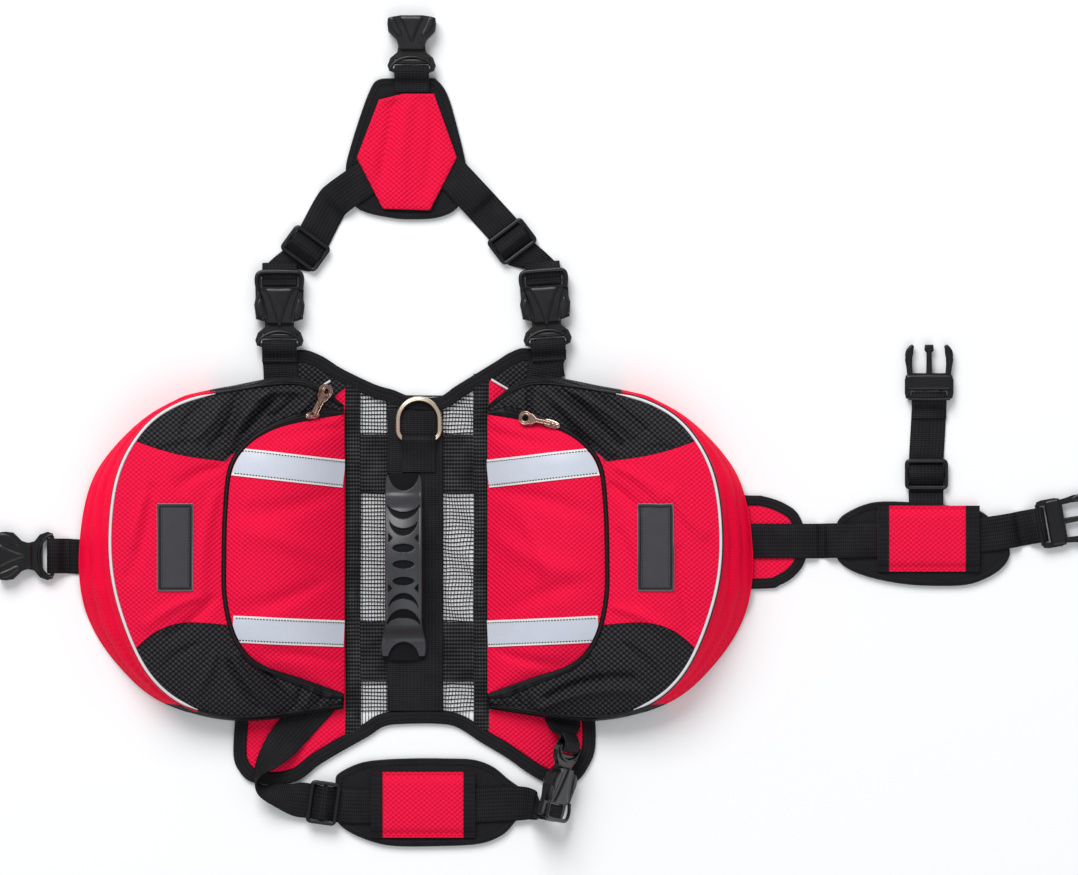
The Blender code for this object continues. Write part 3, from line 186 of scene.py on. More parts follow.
FINISHES = {
    "red_cloth": dobby_cloth(
        "red_dobby", (0.72, 0.001, 0.026), (1.0, 0.012, 0.086), (4.0, 3.4), (0.42, 0.7), 0.7, 0.08),
    "gusset_cloth": dobby_cloth(
        "red_side_cloth", (0.84, 0.0, 0.030), (1.0, 0.004, 0.058), (2.6, 2.2), (0.55, 0.72), 0.16, 0.06),
    "black_cloth": dobby_cloth(
        "black_dobby", (0.0006, 0.0005, 0.0008), (0.095, 0.090, 0.104), (4.4, 3.8), (0.36, 0.7), 0.9, 0.17,
        2.6),
    "webbing": ribbed_cloth("ribbed_webbing", (0.001, 0.001, 0.0015), (0.022, 0.021, 0.025), 1.5, 2.6, 0.22),
    "binding": ribbed_cloth("edge_binding", (0.003, 0.003, 0.0035), (0.020, 0.0195, 0.022), 0.95, 3.1, 0.10,
                            0.75),
    "smooth_tape": ribbed_cloth("smooth_tape", (0.005, 0.005, 0.006), (0.013, 0.013, 0.015), 0.6, 8.0, 0.03,
                                0.42),
    "pad_knit": dobby_cloth(
        "pad_knit", (0.002, 0.002, 0.0025), (0.018, 0.018, 0.021), (2.2, 2.0), (0.7, 0.85), 0.2, 0.16),
    "netted_tape": ribbed_cloth("netted_tape", (0.0, 0.0, 0.0), (0.12, 0.12, 0.13), 2.7, 2.15, 0.4, 0.6,
                                2.4),
    "net": plain_finish(
        "net_thread", (0.003, 0.003, 0.004), (0.014, 0.014, 0.016), 0.7, 0.6, 0.05, Specular_IOR_Level=0.15),
    "reflective": plain_finish(
        "reflective_tape", (0.50, 0.54, 0.62), (0.62, 0.65, 0.73), 0.42, 1.4, 0.04, Specular_IOR_Level=0.4),
    "white_tape": plain_finish("white_tape", (0.68, 0.68, 0.69), (0.86, 0.86, 0.87), 0.6, 0.8, 0.05),
    "piping": plain_finish("white_piping", (0.56, 0.56, 0.57), (0.84, 0.84, 0.85), 0.5, 0.9, 0.08),
    "black_thread": plain_finish(
        "black_thread", (0.004, 0.004, 0.005), (0.024, 0.024, 0.027), 0.55, 0.4, 0.03,
        Specular_IOR_Level=0.2),
    "grey_thread": plain_finish("grey_thread", (0.12, 0.13, 0.15), (0.26, 0.28, 0.31), 0.6, 0.4, 0.03),
    "red_thread": plain_finish(
        "red_thread", (0.50, 0.001, 0.016), (0.74, 0.004, 0.034), 0.5, 0.4, 0.03, Specular_IOR_Level=0.2),
    "plastic": plain_finish(
        "moulded_plastic", (0.003, 0.003, 0.0035), (0.009, 0.009, 0.010), 0.3, 0.7, 0.012,
        Specular_IOR_Level=0.36),
    "handle_rubber": plain_finish(
        "soft_rubber", (0.028, 0.028, 0.032), (0.049, 0.050, 0.056), 0.34, 0.5, 0.02,
        Specular_IOR_Level=0.4),
    # Near-black rubber as painted shade: it darkens the handle's carved recesses and the buckles' slits.
    "recess_painted_shade": plain_finish(
        "rubber_painted_shade", (0.003, 0.003, 0.004), (0.010, 0.010, 0.011), 0.7, 0.5, 0.03,
        Specular_IOR_Level=0.1),
    "metal": plain_finish("pale_gold", (0.90, 0.72, 0.52), (1.0, 0.88, 0.70), 0.22, 1.2, 0.01, Metallic=1.0),
    "rose_metal": plain_finish("rose_gold", (0.26, 0.15, 0.11), (0.66, 0.45, 0.37), 0.2, 1.6, 0.05,
                               Metallic=1.0),
    "label": plain_finish(
        "label_patch", (0.034, 0.032, 0.038), (0.054, 0.051, 0.059), 0.55, 0.5, 0.03,
        Specular_IOR_Level=0.3),
}

# Meshes


def add_piece(name, points, faces, finish, nodes=(), body="harness", uv=None, sharp=40.0, second=None):
    """Makes a piece from points in millimetres. A second finish takes the faces that its list names."""
    mesh = bpy.data.meshes.new(name)
    mesh.from_pydata((np.asarray(points, float) * MM).tolist(), [], faces)
    if uv is not None:
        corners = np.zeros(len(mesh.loops), np.int32)
        mesh.loops.foreach_get("vertex_index", corners)
        layer = mesh.uv_layers.new(name="cloth")
        layer.data.foreach_set("uv", np.asarray(uv, np.float32)[corners].ravel())
    mesh.materials.append(FINISHES[finish])
    if second:
        mesh.materials.append(FINISHES[second[0]])
        marks = np.zeros(len(mesh.polygons), np.int32)
        marks[second[1]] = 1
        mesh.polygons.foreach_set("material_index", marks)
    mesh.shade_smooth()
    mesh.set_sharp_from_angle(angle=math.radians(sharp))
    mesh.update()
    ob = bpy.data.objects.new(name, mesh)
    bpy.context.scene.collection.objects.link(ob)
    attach(ob, body)
    if nodes:
        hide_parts(*([nodes] if isinstance(nodes, str) else nodes))
    return ob


def cloth_lengths(points):
    """The run of a grid's cloth across and along it, in millimetres, for its weave."""
    across = np.linalg.norm(np.diff(points, axis=1), axis=2)
    along = np.linalg.norm(np.diff(points, axis=0), axis=2)
    u = np.concatenate([np.zeros((len(points), 1)), np.cumsum(across, axis=1)], axis=1)
    v = np.concatenate([np.zeros((1, points.shape[1])), np.cumsum(along, axis=0)], axis=0)
    return np.stack([u, v], axis=2)


def grid_normals(points, flip):
    normal = np.cross(np.gradient(points, axis=0), np.gradient(points, axis=1))
    normal /= np.maximum(np.linalg.norm(normal, axis=2, keepdims=True), 1e-9)
    return -normal if flip else normal


def grid_faces(rows, columns):
    """The quads of a closed body between an upper grid of points and a lower one that follows it."""
    top = np.arange(rows * columns).reshape(rows, columns)
    low = top + rows * columns
    return np.concatenate([
        np.stack([top[:-1, :-1], top[1:, :-1], top[1:, 1:], top[:-1, 1:]], axis=2).reshape(-1, 4),
        np.stack([low[:-1, :-1], low[:-1, 1:], low[1:, 1:], low[1:, :-1]], axis=2).reshape(-1, 4),
        np.stack([top[0, :-1], top[0, 1:], low[0, 1:], low[0, :-1]], axis=1),
        np.stack([top[-1, 1:], top[-1, :-1], low[-1, :-1], low[-1, 1:]], axis=1),
        np.stack([top[1:, 0], top[:-1, 0], low[:-1, 0], low[1:, 0]], axis=1),
        np.stack([top[:-1, -1], top[1:, -1], low[1:, -1], low[:-1, -1]], axis=1),
    ])


def shell(name, points, thickness, finish, nodes=(), flip=False, uv=None, second=None):
    """A thin closed shell under a grid of points. A second finish takes the marked rows of faces."""
    points = np.asarray(points, float)
    rows, columns = points.shape[:2]
    under = points - grid_normals(points, flip) * thickness
    faces = grid_faces(rows, columns)
    if flip:
        faces = faces[:, ::-1]
    if uv is None:
        uv = cloth_lengths(points)
    uv = np.concatenate([uv.reshape(-1, 2)] * 2)
    every = np.concatenate([points.reshape(-1, 3), under.reshape(-1, 3)])
    if second:
        finish_name, marked_rows = second
        inner = np.repeat(marked_rows, columns - 1)
        ends = np.repeat(marked_rows[[0, -1]], columns - 1)
        marked = np.concatenate([inner, inner, ends, marked_rows, marked_rows])
        second = (finish_name, np.nonzero(marked)[0])
    return add_piece(name, every, faces.tolist(), finish, nodes, uv=uv, second=second)


def sweep(name, path, sideways, profile, finish, nodes=(), body="harness", closed=False, scale=None):
    """A profile (across, up) drawn along a path whose sideways directions are given."""
    path, side = np.asarray(path, float), np.asarray(sideways, float)
    side = side / np.linalg.norm(side, axis=1, keepdims=True)
    along = run_round(path) if closed else np.gradient(path, axis=0)
    up = np.cross(along, side)
    up /= np.linalg.norm(up, axis=1, keepdims=True)
    profile = np.asarray(profile, float)
    scale = np.ones((len(path), 2)) if scale is None else np.asarray(scale, float)
    grid = (path[:, None] + side[:, None] * (profile[None, :, :1] * scale[:, None, :1])
            + up[:, None] * (profile[None, :, 1:] * scale[:, None, 1:]))
    index = np.arange(len(path) * len(profile)).reshape(len(path), len(profile))
    rings = np.concatenate([index, index[:1]]) if closed else index
    after = np.roll(rings, -1, axis=1)
    faces = np.stack([rings[:-1], rings[1:], after[1:], after[:-1]], axis=2).reshape(-1, 4).tolist()
    if not closed:
        faces += [index[0].tolist(), index[-1][::-1].tolist()]
    if signed_area(profile) > 0:
        faces = [face[::-1] for face in faces]
    uv = np.stack(np.broadcast_arrays(run_of(profile)[None, :], run_of(path)[:, None]), axis=2)
    return add_piece(name, grid.reshape(-1, 3), faces, finish, nodes, body, uv.reshape(-1, 2))


def signed_area(outline):
    x, y = np.asarray(outline, float).T
    return float(np.sum(x * np.roll(y, -1) - y * np.roll(x, -1)) / 2)


def ribbon_profile(width, thick, edge=0.6):
    """A flat ribbon's section, with rounded edges."""
    half, tall = width / 2, thick / 2
    return [
        (half, 0.0), (half - edge * 0.3, tall * 0.75), (half - edge, tall), (half / 3, tall),
        (-half / 3, tall),
        (edge - half, tall), (edge * 0.3 - half, tall * 0.75), (-half, 0.0),
        (edge * 0.3 - half, -tall * 0.75),
        (edge - half, -tall), (half - edge, -tall), (half - edge * 0.3, -tall * 0.75),
    ]


def round_profile(radius, sides=12, flat=1.0):
    return [(radius * math.cos(TAU * i / sides),
             radius * flat * math.sin(TAU * i / sides)) for i in range(sides)]


def run_of(points):
    """How far along a line each of its points is."""
    return np.concatenate([[0.0], np.cumsum(np.linalg.norm(np.diff(points, axis=0), axis=1))])


def run_round(line):
    """The directions along a closed line, at each of its points."""
    return np.roll(line, -1, axis=0) - np.roll(line, 1, axis=0)


def cross_line(x0, x1, y, count):
    """Points on a straight line across the harness."""
    return np.column_stack([np.linspace(x0, x1, count), np.full(count, y)])


def placed(place, points):
    """Points of a buckle's or a slider's frame, as they lie on the harness."""
    return np.array([place @ Vector(p) for p in points])


def axis_of(place, which):
    """The direction of a frame's x, y or z axis, as 0, 1 or 2."""
    return np.array(place.to_3x3().col[which])


def resample(points, step, closed=False):
    """A line's points again, at an even step."""
    points = np.asarray(points, float)
    if closed:
        points = np.concatenate([points, points[:1]])
    run = run_of(points)
    count = max(int(round(run[-1] / step)), 2)
    places = np.linspace(0.0, run[-1], count + 1)
    made = np.stack([np.interp(places, run, column) for column in points.T], axis=1)
    return made[:-1] if closed else made


def smooth_points(points, per_span=6, closed=False):
    """A Catmull-Rom curve through points of any number of coordinates."""
    points = np.asarray(points, float)
    last = len(points)
    spans = last if closed else last - 1
    made = []
    for i in range(spans):
        if closed:
            a, b, c, d = (points[(i + k) % last] for k in (-1, 0, 1, 2))
        else:
            a, b, c, d = points[max(i - 1, 0)], points[i], points[i + 1], points[min(i + 2, last - 1)]
        for k in range(per_span):
            t = k / per_span
            made.append(0.5 * (2 * b + (c - a) * t + (2 * a - 5 * b + 4 * c - d) * t * t
                               + (3 * b - 3 * c + d - a) * t ** 3))
    if not closed:
        made.append(points[-1])
    return np.array(made)


def distance_to(places, outline):
    """How far each place is from a closed outline."""
    best = np.full(len(places), 1e9)
    ends = np.roll(outline, -1, axis=0)
    for a, b in zip(outline, ends):
        along = b - a
        share = np.clip(((places - a) @ along) / max(along @ along, 1e-12), 0.0, 1.0)
        away = np.linalg.norm(places - (a + share[:, None] * along), axis=1)
        best = np.minimum(best, away)
    return best


def inside(places, outline):
    held = np.zeros(len(places), bool)
    x, y = places.T
    ends = np.roll(outline, -1, axis=0)
    for (x0, y0), (x1, y1) in zip(outline, ends):
        crosses = (y0 > y) != (y1 > y)
        with np.errstate(divide="ignore", invalid="ignore"):
            held ^= crosses & (x < (x1 - x0) * (y - y0) / (y1 - y0) + x0)
    return held


def cushion(name, outline, low, top, finish, nodes=(), step=3.0, edge=1.2, relief=None, body="harness",
            place=None):
    """A flat piece with a rounded edge: relief gives the height that is added at places on its top."""
    outline = resample(outline, min(step, 2.5), closed=True)
    count = len(outline)
    lows, highs = outline.min(axis=0), outline.max(axis=0)
    xs = np.arange(lows[0], highs[0], step)
    ys = np.arange(lows[1], highs[1], step * 0.866)
    grid = np.array([(x + (j % 2) * step / 2, y) for j, y in enumerate(ys) for x in xs])
    turn = run_round(outline)
    normal = np.stack([-turn[:, 1], turn[:, 0]], axis=1)
    normal /= np.maximum(np.linalg.norm(normal, axis=1, keepdims=True), 1e-9)
    if signed_area(outline) < 0:
        normal = -normal
    parts = [outline, grid[(distance_to(grid, outline) > edge + step * 0.45) & inside(grid, outline)]]
    for inset in (edge * 0.3, edge):
        ring = outline + normal * inset
        parts.append(ring[(distance_to(ring, outline) > inset * 0.93) & inside(ring, outline)])
    edges = [(i, (i + 1) % count) for i in range(count)]
    made = geometry.delaunay_2d_cdt([Vector(p) for p in np.concatenate(parts)], edges, [], 0, 1e-5)
    flat = np.array([tuple(p) for p in made[0]])
    triangles = np.array(list(made[2]))
    triangles = triangles[inside(flat[triangles].mean(axis=1), outline)]
    corner = flat[triangles]
    area = ((corner[:, 1, 0] - corner[:, 0, 0]) * (corner[:, 2, 1] - corner[:, 0, 1])
            - (corner[:, 1, 1] - corner[:, 0, 1]) * (corner[:, 2, 0] - corner[:, 0, 0]))
    triangles, area = triangles[np.abs(area) > 1e-9], area[np.abs(area) > 1e-9]
    triangles[area < 0] = triangles[area < 0][:, ::-1]
    away = distance_to(flat, outline)
    away[:count] = 0.0
    shoulder = np.clip(away / edge, 0.0, 1.0)
    rounded = np.sqrt(np.clip(1 - (1 - shoulder) ** 2, 0.0, 1.0))
    middle = (low + top) / 2
    height = middle + (top - middle) * rounded
    if relief is not None:
        height += relief(flat[:, 0], flat[:, 1], away) * shoulder
    depth = middle - (middle - low) * rounded
    points = np.concatenate([np.column_stack([flat, height]), np.column_stack([flat, depth])[count:]])
    lower = np.arange(len(flat))
    lower[count:] += len(flat) - count
    faces = triangles.tolist() + lower[triangles][:, ::-1].tolist()
    uv = points[:, :2]
    if place is not None:
        points = placed(place, points)
    return add_piece(name, points, faces, finish, nodes, body, uv, 50.0)


def add_beads(name, beads, radius, sizes, finish):
    """Small rods with round ends. Each has four points, an up direction and a sideways direction."""
    ring = [(math.cos(TAU * k / 5), math.sin(TAU * k / 5)) for k in range(5)]
    points, faces = [], []
    for spots, up, side in beads:
        start = len(points)
        for spot, size in zip(spots, sizes):
            points += [spot + up * (radius * size * b) + side * (radius * size * a) for a, b in ring]
        for j in range(3):
            for k in range(5):
                first, other = start + j * 5 + k, start + j * 5 + (k + 1) % 5
                faces.append((first, first + 5, other + 5, other))
        faces.append(tuple(range(start, start + 5)))
        faces.append(tuple(range(start + 19, start + 14, -1)))
    return add_piece(name, points, faces, finish, uv=np.array(points)[:, :2], sharp=60.0)


def stitches(name, path, normals, finish="black_thread", pitch=2.6, length=1.7, radius=0.24):
    """A line of sewing: short rounded stitches that lie half in the cloth."""
    path, normals = np.asarray(path, float), np.asarray(normals, float)
    run = run_of(path)
    lifts = np.array([-0.35, 0.55, 0.55, -0.35]) * radius
    beads = []
    for i in range(int(run[-1] / pitch)):
        places = (i + 0.5) * pitch + np.array([-0.5, -0.3, 0.3, 0.5]) * length
        spots = np.stack([np.interp(places, run, path[:, k]) for k in range(3)], axis=1)
        up = np.array([np.interp(places[1], run, normals[:, k]) for k in range(3)])
        up /= np.linalg.norm(up)
        along = spots[-1] - spots[0]
        along /= max(np.linalg.norm(along), 1e-9)
        beads.append((spots + lifts[:, None] * up, up, np.cross(along, up)))
    return add_beads(name, beads, radius, (0.35, 1.0, 1.0, 0.35), finish)


UP = np.array([0.0, 0.0, 1.0])


def level_stitches(name, line, z, finish="black_thread", **sizes):
    """A line of sewing on a flat piece."""
    path = level_path(line, z)
    return stitches(name, path, np.tile(UP, (len(path), 1)), finish, **sizes)


# Forms: the saddlebag, with x outward from the spine

PIPING_RADIUS, BAG_INNER_X, RIM_OVER_YOKE, RIM_ON_TABLE = 1.3, 51.5, 6.2, 0.5
BAG_SECTIONS = [
    # pocket_x, pocket_y, pocket_z, piping_x, piping_y, piping_z, base_x, base_y
    (52.0, 105.0, 10.0, 52.5, 110.0, 9.5, 52.0, 112.0),
    (76.0, 100.8, 19.0, 83.0, 126.5, 17.0, 84.0, 131.6),
    (101.0, 94.5, 27.0, 131.0, 121.8, 24.0, 133.0, 125.3),
    (120.0, 83.0, 32.0, 169.0, 112.5, 31.0, 171.0, 116.0),
    (131.5, 66.0, 34.0, 196.0, 92.8, 37.5, 205.0, 94.0),
    (135.0, 38.0, 35.0, 214.0, 58.0, 41.0, 233.0, 57.0),
    (136.0, 5.0, 35.0, 218.8, 8.0, 42.0, 242.4, 5.0),
    (135.3, -28.0, 34.5, 211.5, -36.0, 40.0, 236.8, -39.0),
    (128.0, -56.0, 32.0, 192.0, -80.0, 34.0, 214.0, -76.0),
    (112.0, -74.0, 27.0, 163.0, -104.5, 25.0, 180.0, -103.5),
    (82.0, -85.0, 19.0, 122.0, -112.5, 18.0, 125.0, -115.8),
    (52.0, -96.0, 10.0, 54.0, -104.0, 9.0, 52.0, -107.0),
]
TOP_SEAM, LOW_SEAM = (0.350, 0.385), (0.690, 0.690)

# The folds of each bag's front: a bent line, its half width and its rise, negative for a trough
FOLDS = {
    -1: [
        # from_x, from_y, to_x, to_y, bend, half width, rise
        (134.0, 80.0, 106.0, 121.0, -3.5, 4.6, 5.2),
        (112.0, 116.0, 82.0, 121.5, -3.0, 4.2, 4.2),
        (124.0, 92.0, 102.0, 118.0, 0.0, 2.6, -4.0),
        (147.0, 82.0, 128.0, 117.0, 3.0, 4.0, -3.6),
        (160.0, 86.0, 140.0, 112.0, 3.0, 3.6, 2.6),
        (168.0, 92.0, 154.0, 112.0, -2.0, 3.0, -2.0),
        (104.0, 104.0, 88.0, 117.0, 2.0, 2.8, -2.8),
        (84.0, 106.0, 74.0, 119.0, 1.0, 2.6, 2.2),
        (74.0, 104.0, 68.0, 117.0, 2.0, 2.2, -2.4),
        (184.0, 80.0, 160.0, 86.0, 1.0, 3.0, -1.8),
        (126.0, -68.0, 98.0, -105.0, 1.5, 3.6, 4.0),
        (118.0, -66.0, 90.0, -102.0, 1.0, 2.6, -3.0),
        (134.0, -72.0, 112.0, -106.0, 1.5, 3.0, -3.2),
        (60.0, -96.0, 64.0, -105.0, 0.5, 2.0, 1.8),
        (66.0, -93.0, 71.0, -107.0, 0.5, 2.0, -2.2),
        (73.0, -92.0, 80.0, -108.0, 0.5, 2.2, 2.0),
        (82.0, -91.0, 90.0, -110.0, -0.5, 2.2, -2.2),
        (144.0, -68.0, 158.0, -94.0, -2.0, 4.2, 2.4),
        (156.0, -60.0, 180.0, -76.0, 2.0, 3.2, -1.8),
        (142.0, 66.0, 168.0, 54.0, 2.0, 5.0, -2.2),
        (144.0, 46.0, 154.0, -24.0, 3.0, 6.0, 2.0),
        (188.0, 52.0, 204.0, -10.0, -3.0, 5.0, -1.8),
        (146.0, -28.0, 176.0, -54.0, -2.0, 5.0, -2.6),
        (158.0, -27.0, 192.0, -46.0, 2.0, 4.6, 2.3),
        (194.0, 46.0, 203.0, 12.0, 1.0, 4.0, 1.8),
    ],
    1: [
        (141.0, 77.0, 92.0, 124.0, 0.0, 4.6, 5.0),
        (155.0, 90.0, 112.0, 122.0, -3.0, 4.0, 3.8),
        (148.0, 84.0, 104.0, 123.0, -1.5, 2.6, -4.2),
        (164.0, 94.0, 130.0, 119.0, -2.0, 3.0, -2.8),
        (176.0, 88.0, 162.0, 108.0, 1.0, 3.0, 1.8),
        (82.0, 105.0, 82.0, 125.0, 0.6, 3.0, -3.4),
        (126.0, 84.0, 100.0, 108.0, 1.0, 3.0, -3.0),
        (73.0, 103.0, 71.0, 117.0, 0.5, 2.4, 2.0),
        (65.0, 104.0, 62.0, 113.0, 0.5, 2.0, -1.6),
        (186.0, 80.0, 166.0, 80.0, -1.0, 3.0, -1.6),
        (90.0, -107.0, 164.0, -94.0, 6.0, 3.4, 3.8),
        (94.0, -98.0, 154.0, -84.0, 5.0, 3.0, -4.0),
        (62.0, -96.0, 66.0, -106.0, 0.5, 2.2, 1.8),
        (70.0, -92.0, 76.0, -108.0, 0.5, 2.2, -2.2),
        (80.0, -90.0, 86.0, -104.0, -0.5, 2.4, 2.0),
        (128.0, -68.0, 138.0, -86.0, -1.5, 3.4, 2.2),
        (150.0, -60.0, 172.0, -80.0, 2.0, 3.2, -2.0),
        (146.0, 66.0, 176.0, 46.0, 2.0, 5.0, 2.6),
        (140.0, 54.0, 158.0, 38.0, 1.0, 4.4, -2.4),
        (184.0, 50.0, 206.0, 20.0, -2.0, 5.0, 2.4),
        (146.0, 20.0, 158.0, -30.0, 3.0, 5.6, -1.8),
        (188.0, 8.0, 198.0, -46.0, -2.0, 5.0, -2.0),
        (144.0, -34.0, 180.0, -50.0, 2.0, 5.0, 2.4),
    ],
}
# The pocket's shallow waves, in the same way
POCKET_WAVES = {
    -1: [(56.0, 94.0, 114.0, 82.0, 3.0, 6.0, -2.0), (60.0, 48.0, 130.0, 34.0, -4.0, 8.0, -2.2),
         (58.0, -2.0, 120.0, 20.0, 4.0, 9.0, 2.4), (68.0, -16.0, 130.0, -36.0, -3.0, 7.0, -2.4),
         (58.0, -74.0, 106.0, -66.0, 2.0, 5.0, -2.0), (120.0, 46.0, 127.0, -32.0, 3.0, 5.0, 1.6)],
    1: [(56.0, 92.0, 110.0, 82.0, -2.0, 6.0, -2.0), (58.0, 50.0, 130.0, 30.0, 3.0, 7.0, -2.4),
        (56.0, 18.0, 128.0, -12.0, -5.0, 9.0, 2.5), (62.0, -38.0, 126.0, -14.0, 3.0, 7.0, -2.2),
        (60.0, -66.0, 108.0, -76.0, -2.0, 5.0, -2.2), (74.0, 34.0, 102.0, -32.0, 3.0, 6.0, 1.6)],
}


def smooth_read(rows, place):
    """Reads rows of numbers at places from 0 to 1 with a Catmull-Rom curve."""
    rows = np.asarray(rows, float)
    last = len(rows) - 1
    along = np.clip(np.asarray(place, float), 0.0, 1.0) * last
    i = np.minimum(along.astype(int), last - 1)
    t = (along - i)[..., None]
    a, b, c, d = rows[np.maximum(i - 1, 0)], rows[i], rows[i + 1], rows[np.minimum(i + 2, last)]
    slope_b, slope_c = (c - a) / 2, (d - b) / 2
    return (b + slope_b * t + (3 * (c - b) - 2 * slope_b - slope_c) * t * t
            + (2 * (b - c) + slope_b + slope_c) * t ** 3)


def ease(value):
    value = np.clip(value, 0.0, 1.0)
    return value * value * (3 - 2 * value)


def between(ends, share):
    return ends[0] + (ends[1] - ends[0]) * share


def rim_height(x, y):
    on_yoke = 1 - ease((x - 142) / 22)
    on_lobe = ease((y + 44) / 20) * (1 - ease((y - 52) / 20))
    return RIM_ON_TABLE + (RIM_OVER_YOKE - RIM_ON_TABLE) * np.maximum(on_yoke, on_lobe)


def section(place):
    """The pocket points, piping points and base points of sections."""
    read = smooth_read(BAG_SECTIONS, place)
    bx, by = read[..., 6], read[..., 7]
    return read[..., 0:3], read[..., 3:6], np.stack([bx, by, rim_height(bx, by)], axis=-1)


def relief_of(folds, x, y):
    """The height of bent folds at places. Each fades towards its ends."""
    height = np.zeros(np.shape(x))
    for x0, y0, x1, y1, bend, width, rise in folds:
        run = math.hypot(x1 - x0, y1 - y0)
        dx, dy = (x1 - x0) / run, (y1 - y0) / run
        along = ((x - x0) * dx + (y - y0) * dy) / run
        held = np.clip(along, 0.0, 1.0)
        aside = (y - y0) * dx - (x - x0) * dy - bend * 4 * held * (1 - held)
        past = (along - held) * run
        away = np.hypot(aside, past)
        share = 0.45 + 0.55 * np.sin(math.pi * (0.15 + 0.7 * held))
        height += 1.2 * rise * share * np.exp(-((away / (width * (0.6 + 0.4 * held))) ** 2))
    return height


def seam_place(seam, share):
    """Where a seam of the front runs: each one bows between the pocket and the piping."""
    middle = between(seam, share)
    if seam is TOP_SEAM:
        return middle + 0.011 * np.sin(math.pi * share) - 0.035 * (1 - ease(share / 0.06))
    if seam is LOW_SEAM:
        return middle - 0.022 * np.sin(math.pi * share)
    return middle


def zip_width(place):
    return 2.6 + (8.0 - 2.6) * (1 - ease(np.minimum(place, 1 - place) / 0.3))


def front_point(place, away, side):
    """The bag's front between the pocket line (0) and the piping (1)."""
    pocket, piping, _ = section(place)
    away = np.asarray(away, float)
    point = pocket + (piping - pocket) * away[..., None]
    span = np.hypot(piping[..., 0] - pocket[..., 0], piping[..., 1] - pocket[..., 1])
    edge = np.minimum(1.0, np.minimum(away, 1 - away) * span / 6.0)
    lift = 0.07 * span * np.sin(math.pi * away)
    lift += relief_of(FOLDS[side], point[..., 0], point[..., 1]) * ease(edge)
    point[..., 2] += lift
    return point


def pocket_point(place, away, side):
    """The front pocket between the spine (0) and the pocket line (1)."""
    pocket, _, _ = section(place)
    place, away = np.broadcast_arrays(np.asarray(place, float), np.asarray(away, float))
    inner = np.stack([np.full(place.shape, BAG_INNER_X), between((105.0, -96.0), place),
                      np.full(place.shape, 9.0)], axis=-1)
    point = inner + (pocket - inner) * away[..., None]
    held = np.minimum(away, 1.0)
    bulge = np.sin(math.pi * held) * (pocket[..., 0] - BAG_INNER_X) / 84.0
    waves = relief_of(POCKET_WAVES[side], point[..., 0], point[..., 1]) * np.sin(math.pi * held) ** 0.5
    point[..., 2] = 9.0 + (pocket[..., 2] - 9.0) * np.sin(math.pi / 2 * away) + 7.5 * bulge + waves
    return point


def gusset_point(place, down, side):
    """The bag's outer wall, from the piping (0) to the base line (1), with its long crease."""
    _, piping, base = section(place)
    place, down = np.broadcast_arrays(np.asarray(place, float), np.asarray(down, float))
    point = piping + (base - piping) * down[..., None]
    outward = base - piping
    outward[..., 2] = 0.0
    length = np.maximum(np.linalg.norm(outward, axis=-1, keepdims=True), 1e-6)
    tall = piping[..., 2] - base[..., 2]
    crease_at = 0.33 + 0.04 * np.sin(place * 9.0 + side)
    swell = np.sin(math.pi * down) * 0.05 * tall
    crease = np.exp(-(((down - crease_at) / 0.055) ** 2)) * (2.6 + 0.8 * np.sin(place * 14.0 + side * 2))
    lower = np.exp(-(((down - 0.66) / 0.05) ** 2)) * 1.6 * np.sin(math.pi * place) ** 2
    ripple = 0.35 * np.sin(place * 96.0 + down * 2.2) * np.sin(math.pi * down)
    ripple = ripple * (0.4 + np.sin(place * 7.0) ** 2)
    return point + outward / length * (swell - crease - lower + ripple)[..., None]


def across_spine(points, side):
    points = np.array(points, float)
    points[..., 0] *= side
    return points


def find_on(form, side, x, y):
    """The places on a form that lie at x, y, found by Newton steps."""
    place, away = np.full(np.shape(x), 0.5), np.full(np.shape(x), 0.5)
    step = 0.002
    for _ in range(14):
        here = form(place, away, side)
        along = (form(place + step, away, side) - here) / step
        sideways = (form(place, away + step, side) - here) / step
        miss_x, miss_y = x - here[..., 0], y - here[..., 1]
        size = along[..., 0] * sideways[..., 1] - along[..., 1] * sideways[..., 0]
        place = np.clip(place + (miss_x * sideways[..., 1] - miss_y * sideways[..., 0]) / size, 0.0, 0.99)
        away = np.clip(away + (along[..., 0] * miss_y - along[..., 1] * miss_x) / size, 0.0, 0.99)
    return place, away


def laid_on(form, side, x, y, lift):
    """Points at x, y that lie on a form, lifted off it along its normal."""
    place, away = find_on(form, side, x, y)
    step = 0.004
    along = form(np.minimum(place + step, 1), away, side) - form(np.maximum(place - step, 0), away, side)
    sideways = form(place, np.minimum(away + step, 1), side) - form(place, np.maximum(away - step, 0), side)
    normal = np.cross(along, sideways)
    normal /= np.linalg.norm(normal, axis=-1, keepdims=True)
    normal *= np.where(normal[..., 2:3] < 0, -1.0, 1.0)
    return form(place, away, side) + normal * lift, normal


# Pieces of the saddlebags


def make_bag(side, tag):
    make_sides(side, tag)
    make_front(side, tag)
    make_pocket(side, tag)
    make_zip(side, tag)
    make_piping(side, tag)
    make_reflectors(side, tag)
    make_label(side, tag)


